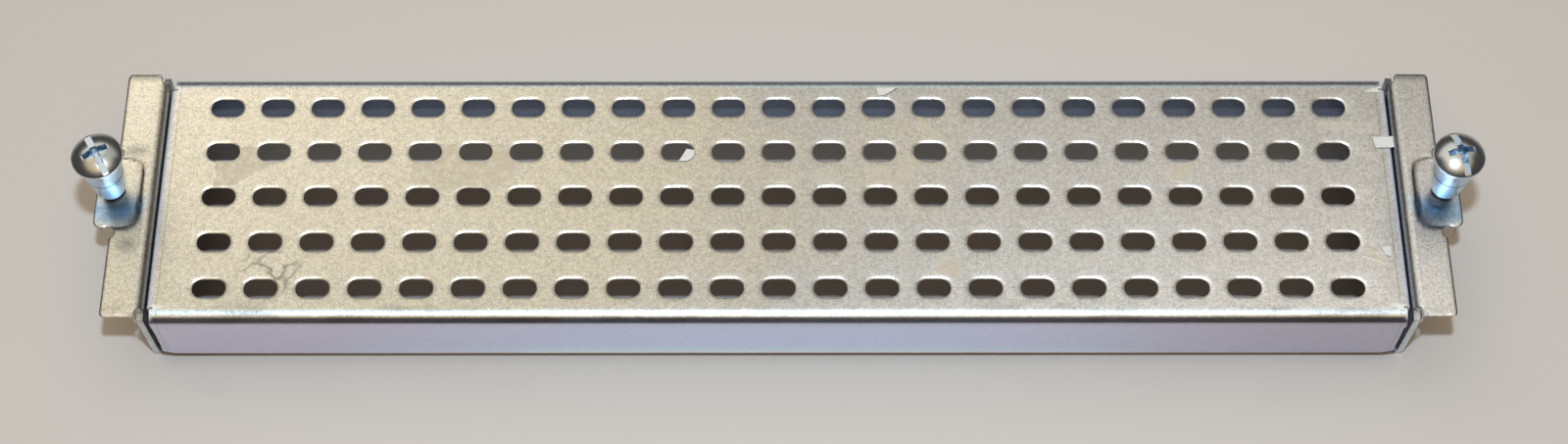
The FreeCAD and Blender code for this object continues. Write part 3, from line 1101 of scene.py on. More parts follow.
@dataclass(frozen=True)
class BlankPaper:
    """Finish of the label scraps: blank white paper with soft fibres and grey soiled patches."""

    paper: RGBA = (0.78, 0.78, 0.79, 1.0)
    soiled: RGBA = (0.58, 0.57, 0.55, 1.0)
    texture: Texture = Texture(500.0, 700.0, 7000.0, 0.12)
    soiled_share: float = 0.35
    rough: float = 0.8
    bump: float = 0.3
    bump_depth: float = 0.03

    def material(self, effects: Effects) -> Material:
        """Builds the finish with the shared groups and returns it."""
        material, sheet, shader = new_material("blank_paper")
        marks = self.texture.on(sheet, effects)
        colour = sheet.mix(sheet.times(marks.cloud, self.soiled_share), self.paper, self.soiled)
        sheet.feed(shader.inputs["Base Color"], sheet.toned(colour, marks.tone))
        shader.inputs["Roughness"].default_value = self.rough
        sheet.bump(shader, marks.height, self.bump, self.bump_depth)
        return material


@dataclass(frozen=True)
class PaleFloor:
    """Finish of the plain floor under the plate.

    Under the pan it is darkened as painted shade, and below the second row of slots it is paler and bluer as
    painted light. Mirrored in metal, it darkens with distance, as a table's edge does.
    """

    tone: RGBA = (0.625, 0.595, 0.585, 1.0)
    faded: RGBA = (0.54, 0.53, 0.52, 1.0)
    # Painted shade on the floor under the pan.
    painted_shade_under_pan: RGBA = (0.40, 0.37, 0.38, 1.0)
    # Painted light: bluish light on the floor below the second row.
    painted_light_under_row: RGBA = (0.78, 0.86, 1.0, 1.0)
    far_off: RGBA = (0.06, 0.055, 0.05, 1.0)
    drift_scale: float = 6.0
    drift_cut: Fade = Fade(0.3, 0.7, 0.0, 0.1)
    pan_end: Fade = Fade(88.0, 91.0, 1.0, 0.0)
    pan_rear: Fade = Fade(9.0, 11.5, 1.0, 0.0)
    pan_front: Fade = Fade(-19.0, -16.0)
    row: float = 14.5
    row_reach: Fade = Fade(1.5, 3.5, 0.9, 0.0)
    darkening: Fade = Fade(130.0, 400.0, 0.0, 0.92)
    rough: float = 0.5

    def material(self) -> Material:
        """Builds the finish and returns it."""
        material, sheet, shader = new_material("pale_floor")
        spot = Spot.on(sheet)
        under = sheet.fade(spot.out, self.pan_end)
        # Painted shade under the pan.
        shade_under_pan = sheet.times(under, sheet.fade(spot.y, self.pan_rear), sheet.fade(spot.y, self.pan_front))
        # Painted light below the second row of slots.
        lit = sheet.times(under, sheet.fade(sheet.distance(spot.y, self.row), self.row_reach))
        mirrored = sheet.times(sheet.fade(sheet.vector("LENGTH", spot.place), self.darkening),
                               sheet.add("LightPath").outputs["Is Glossy Ray"])
        sheet.feed(shader.inputs["Base Color"], sheet.layered(self.tone, (
            (sheet.step(sheet.noise(spot.place, self.drift_scale, 3.0), self.drift_cut), self.faded),
            (shade_under_pan, self.painted_shade_under_pan),
            (lit, self.painted_light_under_row),
            (mirrored, self.far_off),
        )))
        shader.inputs["Roughness"].default_value = self.rough
        return material


@dataclass
class FoldedPanel:
    """The folded sheet: perforated face, long walls, hemmed ends, and ears with a drawn-down pad and tab.

    The surface that is worked out is the sheet's upper side. A Solidify modifier gives it its thickness, and
    a Bevel modifier rolls the cut edges over. Section points are pairs of X and Z. Fields that end in shares
    place lines of points along a length. The hole's cell reaches inwards, outwards and sideways by so many of
    its radii.
    """

    sheet: float = 1.0
    bend: float = 1.4
    end_bend: float = 1.05
    half_width: float = 92.8
    half_depth: float = 20.8
    face_height: float = 13.0
    pitch: float = 7.62
    columns: int = 23
    rows: int = 5
    slot_length: float = 4.95
    slot_width: float = 2.92
    edge_roll: float = 0.12
    die_roll: float = 0.55
    die_drop: float = 0.2
    wall_bend: float = 2.2
    wall_lift: float = 1.75
    wall_end: float = 92.2
    wall_corner: float = 1.9
    leg_half_depth: float = 18.3
    ear_half_depth: float = 20.5
    leg_taper: float = 0.55
    hem_gap: float = 0.15
    hem_lap: float = 30.0
    ear_edge: float = 99.2
    ear_corner: float = 0.8
    bend_relief: float = 1.5
    tab_half: float = 5.65
    tab_corner: float = 1.3
    pad_inner_edge: float = 95.4
    pad_corner: float = 2.2
    pad_drop: float = 0.45
    pad_shoulder: float = 0.88
    notch_radius: float = 1.1
    notch_x: float = 99.65
    notch_y: float = 6.6
    screw_x: float = 99.15
    hole_radius: float = 1.2
    across: int = 12
    along: int = 8
    bend_steps: int = 8
    margin_shares: tuple[float, ...] = (1.0, 0.6, 0.25, 0.0)
    relief_shares: tuple[float, ...] = (0.9, 0.35)
    wall_shares: tuple[float, ...] = (0.35, 0.7)
    wall_end_shares: tuple[float, ...] = (0.75, 0.45, 0.0)
    tip_shares: tuple[float, ...] = (0.3, 0.6, 0.82, 1.0)
    tab_margins: tuple[float, ...] = (0.85, 0.55, 0.33, 0.14, 0.0)
    pad_power: float = 2.3
    hole_cell: Triple = (2.2, 1.6, 2.1)
    cut_angle: float = 62.0

    def __post_init__(self) -> None:
        """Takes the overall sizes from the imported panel."""
        _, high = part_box("cover_panel")
        self.tab_edge = high.x / MM
        self.ear_height = high.z / MM
        reach = math.sqrt(self.notch_radius ** 2 - (self.ear_edge - self.notch_x) ** 2)
        self.notch_start = self.notch_y - reach

    def column_stations(self) -> Array:
        """X of the points along each column of slots, from one edge of its cells to the other."""
        edges = (np.arange(self.columns + 1) - self.columns / 2) * self.pitch
        edges[[0, -1]] = (self.end_bend - self.half_width, self.half_width - self.end_bend)
        share = np.linspace(0, 1, self.along + 1)
        return edges[:-1, None] * (1 - share) + edges[1:, None] * share

    def row_stations(self) -> Array:
        """Y of the points across each row of slots, closer together beside the pads and at the reliefs."""
        inner, outer = self.pitch / 2, 1.5 * self.pitch
        middle = np.linspace(-inner, inner, self.across + 1)
        beside_pad = np.linspace(self.notch_start, 2 * self.notch_y - self.notch_start, 7)
        before = self.notch_start - np.array(self.relief_shares) * self.die_roll
        second = np.concatenate([[inner], before, beside_pad, np.linspace(beside_pad[-1], outer, 4)[1:]])
        last = self.half_depth - self.wall_bend
        third = np.append(np.linspace(outer, self.leg_half_depth, self.across), last)
        return np.stack([-third[::-1], -second[::-1], middle, second, third])

    def margins(self) -> Array:
        """Distances from a cut edge of the lines that follow it, from the outside of its drawn-in border."""
        return self.die_roll * np.array(self.margin_shares)

    def sunk(self, distance: Array) -> Array:
        """Depth of the drawn-in border: the drop times the square of the share of the border that is left."""
        return self.die_drop * np.clip(1 - distance / self.die_roll, 0, 1) ** 2

    def slot_outline(self, grow: float = 0.0) -> Array:
        """One slot about its middle: two half circles joined by straight lines, from its lower right on.

        Args:
            grow: Distance that the outline stands outside the slot's edge.

        Returns:
            Points of X and Y in order round the slot.
        """
        reach = (self.slot_length - self.slot_width) / 2
        radius = self.slot_width / 2 + grow
        return np.concatenate([
            arc((reach, 0), radius, -90, 90, self.across)[:-1],
            line((reach, radius), (-reach, radius), self.along)[:-1],
            arc((-reach, 0), radius, 90, 270, self.across)[:-1],
            line((-reach, -radius), (reach, -radius), self.along)[:-1],
        ])

    def face(self) -> Patch:
        """The flat face, a cell for each slot: rings from the cell's border in to the slot's sunk edge."""
        xs, ys = self.column_stations(), self.row_stations()
        a, b = self.across, self.along
        border = np.empty((self.columns, self.rows, 2 * (a + b), 2))
        border[:, :, :a, 0] = xs[:, None, -1:]
        border[:, :, :a, 1] = ys[None, :, :-1]
        border[:, :, a:a + b, 0] = xs[:, None, :0:-1]
        border[:, :, a:a + b, 1] = ys[None, :, -1:]
        border[:, :, a + b:2 * a + b, 0] = xs[:, None, :1]
        border[:, :, a + b:2 * a + b, 1] = ys[None, :, :0:-1]
        border[:, :, 2 * a + b:, 0] = xs[:, None, :-1]
        border[:, :, 2 * a + b:, 1] = ys[None, :, :1]
        middles = np.empty((self.columns, self.rows, 1, 2))
        middles[..., 0] = ((np.arange(self.columns) - (self.columns - 1) / 2) * self.pitch)[:, None, None]
        middles[..., 1] = ((np.arange(self.rows) - (self.rows - 1) / 2) * self.pitch)[None, :, None]
        beside = [middles + self.slot_outline(margin) for margin in self.margins()]
        rings = np.stack([border, (border + beside[0]) / 2] + beside, axis=2)
        depth = np.concatenate([[0.0, 0.0], self.sunk(self.margins())])
        height = np.broadcast_to((self.face_height - depth)[:, None, None], rings.shape[:-1] + (1,))
        points = np.concatenate([rings, height], axis=-1)
        return Patch.from_loops(points.reshape(-1, len(depth), 2 * (a + b), 3))

    def wall(self, side: int) -> Patch:
        """One long wall: the quarter bend at the face's edge, then the drop to a foot with round corners.

        Args:
            side: Minus one for the front and one for the rear.

        Returns:
            The wall's outer surface.
        """
        inner = np.unique(self.column_stations().round(6))
        past = self.wall_end - (self.wall_end - inner[-1]) * np.array(self.wall_end_shares)
        xs = np.concatenate([-past[::-1], inner, past])
        radius = self.wall_bend
        turn = arc((self.half_depth - radius, self.face_height - radius), radius, 90, 0, 10)
        into = np.clip(np.abs(xs) - (self.wall_end - self.wall_corner), 0, None)
        foot = self.wall_lift + self.wall_corner - np.sqrt(self.wall_corner ** 2 - into ** 2)
        margins = self.margins()
        share = np.array(self.wall_shares)
        border = foot[:, None] + margins
        drop = turn[-1, 1] + (border[:, :1] - turn[-1, 1]) * share
        flat = np.full(len(share), self.half_depth)
        ys = side * np.concatenate([turn[:, 0], flat, self.half_depth - self.sunk(margins)])
        zs = np.concatenate([np.broadcast_to(turn[:, 1], (len(xs), len(turn))), drop, border], axis=1)
        points = np.stack(np.broadcast_arrays(xs[:, None], ys, zs), axis=-1)
        return Patch.from_grid(points, flip=side < 0)

    def leg_stations(self) -> Array:
        """Y of the points across the inner leg, which are the face's own without its two corners."""
        return np.unique(self.row_stations().round(6))[1:-1]

    def tip_stations(self, edge: Array) -> Array:
        """Y of the points from the inner leg's edge out to each given edge, closer together at that edge."""
        margins = self.margins()
        inner = edge[:, None] - margins[0]
        flat = self.leg_half_depth + (inner - self.leg_half_depth) * np.array(self.tip_shares)
        return np.concatenate([flat, edge[:, None] - margins[1:]], axis=1)

    def hem_section(self) -> tuple[Array, Array]:
        """The end's section from the face to the ear, as its narrow part and its wide part."""
        gap = self.hem_gap / 2
        hem_z = gap + self.sheet
        hem = (self.half_width + gap, hem_z)
        bend_z = self.face_height - self.end_bend
        split = 270 - self.hem_lap
        narrow = np.concatenate([
            arc((self.half_width - self.end_bend, bend_z), self.end_bend, 90, 0, 7)[:-1],
            line((self.half_width, bend_z), (self.half_width, hem_z), 4)[:-1],
            arc(hem, gap, 180, split, 3),
        ])
        leg_x = self.half_width + self.hem_gap
        ear_bend = (leg_x + self.bend, self.ear_height - self.bend)
        wide = np.concatenate([
            arc(hem, gap, split, 360, 5)[:-1],
            line((leg_x, hem_z), (leg_x, ear_bend[1]), 5)[:-1],
            arc(ear_bend, self.bend, 180, 90, self.bend_steps),
        ])
        return narrow, wide

    def end_fold(self) -> list[Patch]:
        """The inner leg, then the wider hem, outer leg and ear bend, with a relief at the bend's ends."""
        narrow, wide = self.hem_section()
        ys = self.leg_stations()
        leg = np.stack(np.broadcast_arrays(narrow[:, :1], ys, narrow[:, 1:]), axis=-1)
        turn = np.zeros(len(wide))
        turn[-self.bend_steps - 1:] = np.sqrt(1 - np.linspace(-1, 1, self.bend_steps + 1) ** 2)
        up = np.clip(wide[:, 1] / (self.ear_height - self.bend), 0, 1)
        edge = self.ear_half_depth - self.bend_relief * turn - self.leg_taper * (1 - up)
        tips = self.tip_stations(edge)
        spread = np.concatenate([-tips[:, ::-1], np.broadcast_to(ys, (len(wide), len(ys))), tips], axis=1)
        outer = np.stack(np.broadcast_arrays(wide[:, :1], spread, wide[:, 1:]), axis=-1)
        return [Patch.from_grid(leg), Patch.from_grid(outer)]

    def with_pad(self, x: Array, y: Array) -> Array:
        """Raises plan points of the ear to its surface.

        The pad's floor is a box with two round corners. From its border the surface climbs by a share of the
        drop: one minus a power of the share of the shoulder still to go, so it is crisp below and soft above.

        Args:
            x: X of the points.
            y: Y of the points.

        Returns:
            Points with X, Y and Z.
        """
        over_x = self.pad_inner_edge + self.pad_corner - x
        over_y = np.abs(y) - (self.tab_half - self.pad_corner)
        away = np.hypot(np.clip(over_x, 0, None), np.clip(over_y, 0, None))
        away = away + np.minimum(np.maximum(over_x, over_y), 0) - self.pad_corner
        climb = 1 - (1 - np.clip(away / self.pad_shoulder, 0, 1)) ** self.pad_power
        return np.stack([x, y, self.ear_height - self.pad_drop * (1 - climb)], axis=-1)

    def ear_stations(self) -> Array:
        """X of the points across the ear, closer together over the pad's inner slope."""
        start = self.hem_section()[1][-1, 0]
        slope = np.linspace(start, self.pad_inner_edge, 10)
        flat = np.linspace(self.pad_inner_edge, self.ear_edge - self.die_roll, 6)
        return np.concatenate([slope[:-1], flat, self.ear_edge - self.margins()[1:]])

    def ear_side(self, hand: int) -> Patch:
        """The ear from its tab to one end, out to an edge with the tab's notch and a round corner.

        Args:
            hand: Minus one for the front end and one for the rear end.

        Returns:
            The patch.
        """
        ys = self.leg_stations()
        ys = np.append(ys[ys > self.notch_start - TOUCH], self.tip_stations(np.array([self.ear_half_depth])))
        bite = self.notch_x - np.sqrt(np.clip(self.notch_radius ** 2 - (ys - self.notch_y) ** 2, 0, None))
        into = np.clip(ys - (self.ear_half_depth - self.ear_corner), 0, self.ear_corner)
        edge = self.ear_edge - self.ear_corner + np.sqrt(self.ear_corner ** 2 - into ** 2)
        edge = np.where(np.abs(ys - self.notch_y) < self.notch_radius, np.minimum(edge, bite), edge)
        xs = self.ear_stations()
        share = (xs - xs[0]) / (xs[-1] - xs[0])
        x = xs[0] + share[:, None] * (edge - xs[0])
        points = self.with_pad(x, np.broadcast_to(hand * ys, x.shape))
        fade = np.clip((x - xs[0]) / self.die_roll, 0, 1)
        fade = fade * np.clip((ys - self.notch_start) / self.die_roll, 0, 1)
        points[..., 2] -= self.sunk(np.minimum(edge - x, self.ear_half_depth - ys)) * fade
        return Patch.from_grid(points, flip=hand < 0)

    def ear_middle(self) -> list[Patch]:
        """The pad and its tab as one band, narrowed at the notches and corners, with the screw's hole."""
        tab = np.linspace(self.ear_edge, self.tab_edge - self.tab_corner, 7)[1:]
        xs = np.concatenate([self.ear_stations(), tab, self.tab_edge - np.array(self.tab_margins)])
        ys = self.leg_stations()
        shares = ys[np.abs(ys) < self.notch_start + TOUCH] / self.notch_start
        bite = self.notch_y - np.sqrt(np.clip(self.notch_radius ** 2 - (xs - self.notch_x) ** 2, 0, None))
        into = np.clip(xs - (self.tab_edge - self.tab_corner), 0, self.tab_corner)
        half = self.tab_half - self.tab_corner + np.sqrt(self.tab_corner ** 2 - into ** 2)
        half = np.where(np.abs(xs - self.notch_x) < self.notch_radius, np.minimum(half, bite), half)
        half = np.where(xs > self.ear_edge, half, self.notch_start)
        y = half[:, None] * shares
        points = self.with_pad(np.broadcast_to(xs[:, None], y.shape), y)
        fade = np.clip((xs - self.ear_edge) / self.die_roll, 0, 1)[:, None]
        from_edge = np.minimum(half[:, None] - np.abs(y), (self.tab_edge - xs)[:, None])
        points[..., 2] -= self.sunk(from_edge) * fade
        inward, outward, beside = np.array(self.hole_cell) * self.hole_radius
        low = int(np.searchsorted(xs, self.screw_x - inward))
        high = int(np.searchsorted(xs, self.screw_x + outward))
        near = np.flatnonzero(np.abs(shares) * self.notch_start < beside)
        left, right = int(near[0]), int(near[-1])
        border = np.concatenate([points[high, left:right], points[high:low:-1, right],
                                 points[low, right:left:-1], points[low:high, left]])
        from_axis = border - (self.screw_x, 0, 0)
        rim = from_axis[:, :2] / np.linalg.norm(from_axis[:, :2], axis=1, keepdims=True) * self.hole_radius
        rim = np.column_stack([rim[:, 0] + self.screw_x, rim[:, 1], border[:, 2]])
        share = np.array([0.0, 0.5, 1.0])[:, None, None]
        return [Patch.from_grid(points, skip=(slice(low, high), slice(left, right))),
                Patch.from_loops((border * (1 - share) + rim * share)[None])]

    def build(self) -> Piece:
        """Welds all the patches, marks the cut edges, and gives the sheet its thickness and rolled edges.

        Returns:
            The panel's object.
        """
        end = weld(self.end_fold() + [self.ear_side(-1), self.ear_side(1)] + self.ear_middle())
        whole = weld([self.face(), self.wall(-1), self.wall(1), end, end.mirrored()])
        made = whole.to_object("folded_panel")
        rim = made.data.attributes.new("rim", "FLOAT", "POINT")
        rim.data.foreach_set("value", whole.open_points().astype(np.float32))
        thick = made.modifiers.new("sheet_thickness", "SOLIDIFY")
        thick.thickness = self.sheet * MM
        thick.offset = -1.0
        thick.use_even_offset = True
        thick.material_offset = 1
        roll = made.modifiers.new("edge_roll", "BEVEL")
        roll.width = self.edge_roll * MM
        roll.segments = 2
        roll.limit_method = "ANGLE"
        roll.angle_limit = math.radians(self.cut_angle)
        roll.use_clamp_overlap = False
        roll.harden_normals = True
        return made

    def dress(self, made: Piece, effects: Effects) -> None:
        """Gives the panel its finish and its place on the panel body.

        Args:
            made: The panel's object.
            effects: The shared groups.
        """
        made.data.materials.append(PlatedSheet().material(effects, self))
        made.data.materials.append(ShadedInside().material(effects, self))
        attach(made, "panel")
        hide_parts("cover_panel")


@dataclass
class CaptiveScrew:
    """One turned screw: a domed head with a slot and a cross, a collar, a tapered foot, a neck and a thread.

    Attributes:
        side: The end of the plate that it is on.
        drive_angle: How far its slot is turned, in degrees.

    The fields of offsets round a corner of the outline: steps outwards and upwards from it.
    """

    side: Side
    drive_angle: float
    head_radius: float = 3.75
    rim: float = 0.6
    dome_rise: float = 1.55
    collar_top: float = 3.1
    collar_line: float = 2.9
    collar_foot: float = 2.225
    bore: float = 1.875
    bore_depth: float = 3.0
    collar_length: float = 4.0
    foot_length: float = 4.9
    neck: float = 1.1
    thread: float = 1.5
    thread_length: float = 6.5
    thread_pitch: float = 0.5
    thread_depth: float = 0.28
    slot_half: float = 0.475
    slot_depth: float = 1.35
    cross_half: float = 2.1
    cross_foot: float = 1.0
    cross_foot_half: float = 0.3
    cross_depth: float = 2.3
    beside_slot: float = 0.6
    recess_wall: float = 0.02
    draw_in: float = 0.35
    edge_inset: float = 0.06
    rim_upper: Offsets = ((-0.015, -0.02), (0.0, -0.12))
    rim_lower: Offsets = ((0.0, 0.12), (-0.04, 0.04), (-0.12, 0.0))
    collar_fillet: Offsets = ((0.05, 0.0), (0.0, -0.05))
    groove: Offsets = ((0.015, 0.12), (0.0, 0.08), (-0.08, 0.0), (0.0, -0.08), (-0.01, -0.12))
    foot_round: Offsets = ((0.03, 0.14), (-0.02, 0.03), (-0.08, 0.0))
    bore_edge: Offsets = ((0.04, 0.0), (0.0, 0.05))
    thread_points: int = 118
    thread_lead: float = 0.5
    thread_runout: float = 0.3
    sharp_angle: float = 38.0
    weld_grain: float = 2e-4

    def __post_init__(self) -> None:
        """Takes the screw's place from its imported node."""
        low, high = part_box(self.side.word + "_captive_screw")
        self.x = (low.x + high.x) / 2 / MM
        self.top = high.z / MM
        self.tip = low.z / MM
        self.dome = (self.head_radius ** 2 + self.dome_rise ** 2) / (2 * self.dome_rise)
        self.edge_radius = self.head_radius - self.edge_inset

    def stations(self) -> Array:
        """Places of the head's grid lines from its axis out, doubled up at the walls of the recess."""
        wall = self.recess_wall
        return np.concatenate([
            np.linspace(0, self.cross_foot_half, 4),
            [self.slot_half - wall, self.slot_half + wall],
            np.linspace(self.beside_slot, self.cross_foot, 4),
            np.linspace(self.cross_foot, self.cross_half - wall, 7)[1:],
            [self.cross_half + wall],
        ])

    def head_top(self) -> Patch:
        """The dome with its recess, on lines along and across the slot.

        Inside the cross the lines are straight. Further out they are drawn in to the head's round border. The
        height is the lowest of the dome, the slot's floor and the cross, whose walls lean inwards.
        """
        half = self.stations()
        past = np.linspace(half[-1], self.edge_radius, 12)[1:]
        rows = np.concatenate([half, past])
        ys = np.concatenate([-rows[:0:-1], rows])
        chord = np.sqrt(np.clip(self.edge_radius ** 2 - ys ** 2, 0, None))
        limit = half[-1] + self.draw_in
        inner = np.concatenate([-half[:0:-1], half])
        x_inner = inner * np.minimum(1, chord / limit)[:, None]
        share = np.linspace(0, 1, 8)[1:]
        x_right = x_inner[:, -1:] * (1 - share) + chord[:, None] * share
        x = np.concatenate([-x_right[:, ::-1], x_inner, x_right], axis=1)
        y = np.broadcast_to(ys[:, None], x.shape)
        dome = self.top - self.dome + np.sqrt(self.dome ** 2 - x ** 2 - y ** 2)
        slot = np.where(np.abs(y) < self.slot_half, self.top - self.slot_depth, self.top)
        height = np.minimum(dome, slot)
        for along, across in ((np.abs(x), np.abs(y)), (np.abs(y), np.abs(x))):
            lean = np.minimum((self.cross_half - along) / (self.cross_half - self.cross_foot),
                              (self.slot_half - across) / (self.slot_half - self.cross_foot_half))
            height = np.minimum(height, self.top - self.cross_depth * np.clip(lean, 0, 1))
        return Patch.from_grid(np.stack([x, y, height], axis=-1), flip=True)

    def border_angles(self) -> Array:
        """Angles of the points on the head's border, in order round the axis."""
        patch = self.head_top()
        points = patch.points[patch.open_points()]
        return np.unique(np.arctan2(points[:, 1], points[:, 0]).round(7))

    def profile(self) -> tuple[Array, Array]:
        """Radius and height of the turned outline from the head's border to the tip, and its threaded part.

        Returns:
            Outline points of shape (n, 2), and for each point one on the thread and nought off it.
        """
        rim_z = self.top - self.dome_rise
        under = rim_z - self.rim
        line_z = under - self.collar_length
        foot_z = line_z - self.foot_length
        neck_z = self.tip + self.thread_length
        border_z = self.top - self.dome + math.sqrt(self.dome ** 2 - self.edge_radius ** 2)
        corners = (
            (self.head_radius, rim_z, self.rim_upper),
            (self.head_radius, under, self.rim_lower),
            (self.collar_top, under, self.collar_fillet),
            (self.collar_line, line_z, self.groove),
            (self.collar_foot, foot_z, self.foot_round),
            (self.bore, foot_z, self.bore_edge),
        )
        turned = [(radius + out, z + up) for radius, z, offsets in corners for out, up in offsets]
        bore_z = foot_z + self.bore_depth
        neck = [(self.bore, bore_z), (self.neck, bore_z), (self.neck, neck_z)]
        plain = np.array([(self.edge_radius, border_z)] + turned + neck)
        turns = np.linspace(neck_z, self.tip, self.thread_points)
        radius = np.minimum(self.thread, self.thread - self.thread_lead + (turns - self.tip))
        screwed = np.stack([radius, turns], axis=-1)
        outline = np.concatenate([plain, screwed, [(0.0, self.tip)]])
        cut = np.zeros(len(outline))
        from_end = np.minimum(neck_z - turns, turns - self.tip)
        cut[len(plain):-1] = np.clip(from_end / self.thread_runout, 0, 1)
        return outline, cut

    def shank(self) -> Patch:
        """The outline turned about the axis, where a triangle wave of angle and height cuts the thread."""
        outline, cut = self.profile()
        angles = self.border_angles()
        angles = np.append(angles, angles[0] + 2 * math.pi)
        phase = outline[None, :, 1] / self.thread_pitch - angles[:, None] / (2 * math.pi)
        wave = np.abs(2 * (phase - np.floor(phase)) - 1)
        radius = outline[None, :, 0] - self.thread_depth * cut * wave * (outline[None, :, 0] > 0)
        points = np.stack([radius * np.cos(angles)[:, None], radius * np.sin(angles)[:, None],
                           np.broadcast_to(outline[None, :, 1], radius.shape)], axis=-1)
        return Patch.from_grid(points, flip=True)

    def build(self) -> Piece:
        """Welds head and shank, turns the slot to its angle, and returns the screw's object."""
        whole = weld([self.head_top(), self.shank()], self.weld_grain)
        made = whole.moved(self.drive_angle, (self.x, 0, 0)).to_object(self.side.word + "_screw_turned")
        made.data.set_sharp_from_angle(angle=math.radians(self.sharp_angle))
        return made

    def dress(self, made: Piece, finish: Material) -> None:
        """Gives the screw its finish and its place on its body.

        Args:
            made: The screw's object.
            finish: The plating.
        """
        made.data.materials.append(finish)
        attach(made, self.side.word + "_screw")
        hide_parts(self.side.word + "_captive_screw")


@dataclass
class CoilSpring:
    """One coil spring under a screw's collar, with a closed turn at each end.

    Attributes:
        side: The end of the plate that it is on.
        wire: Thickness of the wire.
        turns, closed_turns: All the turns, and those at each end that are closed.
        closed_rise: Rise of a closed turn, as a share of the wire.
        steps, around: Steps along the wire and round it.
    """

    side: Side
    wire: float = 0.45
    turns: float = 5.0
    closed_turns: float = 0.9
    closed_rise: float = 1.02
    steps: int = 240
    around: int = 12

    def __post_init__(self) -> None:
        """Takes the spring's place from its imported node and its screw."""
        low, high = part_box(self.side.word + "_screw_spring")
        screw_low, screw_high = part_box(self.side.word + "_captive_screw")
        self.x = (screw_low.x + screw_high.x) / 2 / MM
        self.foot = low.z / MM
        self.top = high.z / MM
        self.radius = (high.x - low.x) / 2 / MM - self.wire / 2

    def build(self) -> Piece:
        """Carries a circle of wire along a coil that climbs slowly over its end turns, as an object."""
        turn = np.linspace(0, 1, self.steps + 1) * self.turns
        shut = self.closed_turns
        height = self.top - self.foot - self.wire
        closed_rise = self.closed_rise * self.wire
        open_rise = (height - 2 * shut * closed_rise) / (self.turns - 2 * shut)
        rise = np.where((turn < shut) | (turn > self.turns - shut), closed_rise, open_rise)
        climb = np.concatenate([[0.0], np.cumsum((rise[1:] + rise[:-1]) / 2 * np.diff(turn))])
        climb *= height / climb[-1]
        angle = 2 * math.pi * turn
        outward = np.stack([np.cos(angle), np.sin(angle), np.zeros_like(angle)], axis=-1)
        upward = np.array([0.0, 0.0, 1.0])
        middle = self.radius * outward + (self.foot + self.wire / 2 + climb)[:, None] * upward
        round_wire = np.radians(np.linspace(0, 360, self.around + 1))[:, None]
        spread = outward[:, None] * np.cos(round_wire) + upward * np.sin(round_wire)
        count = np.arange(self.steps + 1)
        ends = np.clip(np.minimum(count, count[::-1]), 0, 1)[:, None, None]
        points = middle[:, None] + ends * self.wire / 2 * spread + (self.x, 0, 0)
        return weld([Patch.from_grid(points)]).to_object(self.side.word + "_spring_coil")

    def dress(self, made: Piece, finish: Material, travel: float) -> None:
        """Gives the spring its finish, its place on its body and a mesh of its own.

        Args:
            made: The spring's object.
            finish: The wire finish.
            travel: How far the screw goes down, in millimetres. Not used.
        """
        made.data.materials.append(finish)
        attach(made, self.side.word + "_spring")
        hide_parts(self.side.word + "_screw_spring")
        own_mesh(made)


@dataclass(frozen=True)
class LabelScrap:
    """One scrap of blank label paper that clings to the sheet.

    Attributes:
        name: Name of the scrap.
        corners: Its corners in order, as X and Y.
        height: Height of the sheet under it.
        lift: How far it stands off the sheet.
        ripple, ripple_waves: Height of its ripple, and how fast it runs along and across.
        tear, tear_waves: Depth of its torn edges, and how fast their two waves run.
        thickness: Thickness of the paper.
        steps: Steps along each side.
    """

    name: str
    corners: Offsets
    height: float
    lift: float = 0.10
    ripple: float = 0.025
    ripple_waves: tuple[float, float] = (9.0, 7.0)
    tear: float = 0.09
    tear_waves: tuple[float, float] = (31.0, 13.0)
    thickness: float = 0.09
    steps: int = 14

    def build(self) -> Piece:
        """A sheet between two edges: points blend from the first and last corners' edge to the other edge."""
        first, second, third, fourth = self.corners
        start, end = line(first, fourth, self.steps), line(second, third, self.steps)
        share = np.linspace(0, 1, self.steps + 1)
        plan = start[:, None] * (1 - share[:, None]) + end[:, None] * share[:, None]
        tear = self.tear * np.sin(self.tear_waves[0] * share + 2) * np.sin(self.tear_waves[1] * share)
        plan[:, -1, 0] += tear
        plan[0, :, 1] += tear
        ripple = np.sin(self.ripple_waves[0] * share)[:, None] * np.sin(self.ripple_waves[1] * share + 1)
        z = self.height + self.lift + self.ripple * ripple
        made = Patch.from_grid(np.dstack([plan, z])).to_object(self.name)
        thick = made.modifiers.new("paper", "SOLIDIFY")
        thick.thickness = self.thickness * MM
        return made


@dataclass
class LabelRemains:
    """The blank scraps left when labels were pulled off.

    Attributes:
        face: Height of the face.
        sunk: How far below it the scrap in a slot hangs.
    """

    face: float = 13.0
    sunk: float = 0.75

    def scraps(self) -> list[LabelScrap]:
        """Every scrap, in the order that they lie from left to right."""
        return [
            LabelScrap("label_scrap_slot", ((-15.3, 5.9), (-12.7, 5.9), (-12.6, 8.2), (-13.9, 8.4)),
                       self.face - self.sunk),
            LabelScrap("label_scrap_rear", ((15.2, 17.2), (16.2, 17.3), (18.2, 18.7), (14.9, 18.6)),
                       self.face),
            LabelScrap("label_scrap_groove", ((90.2, 8.1), (93.2, 8.2), (93.3, 10.1), (89.9, 10.0)),
                       self.face),
            LabelScrap("label_scrap_end", ((89.8, -10.0), (90.7, -10.3), (90.8, -8.5), (89.3, -8.7)),
                       self.face),
        ]

    def build(self, finish: Material) -> list[Piece]:
        """Makes every scrap and fixes it to the panel.

        Args:
            finish: The paper finish.

        Returns:
            The scraps' objects.
        """
        made = [scrap.build() for scrap in self.scraps()]
        for piece in made:
            piece.data.materials.append(finish)
            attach(piece, "panel")
        return made


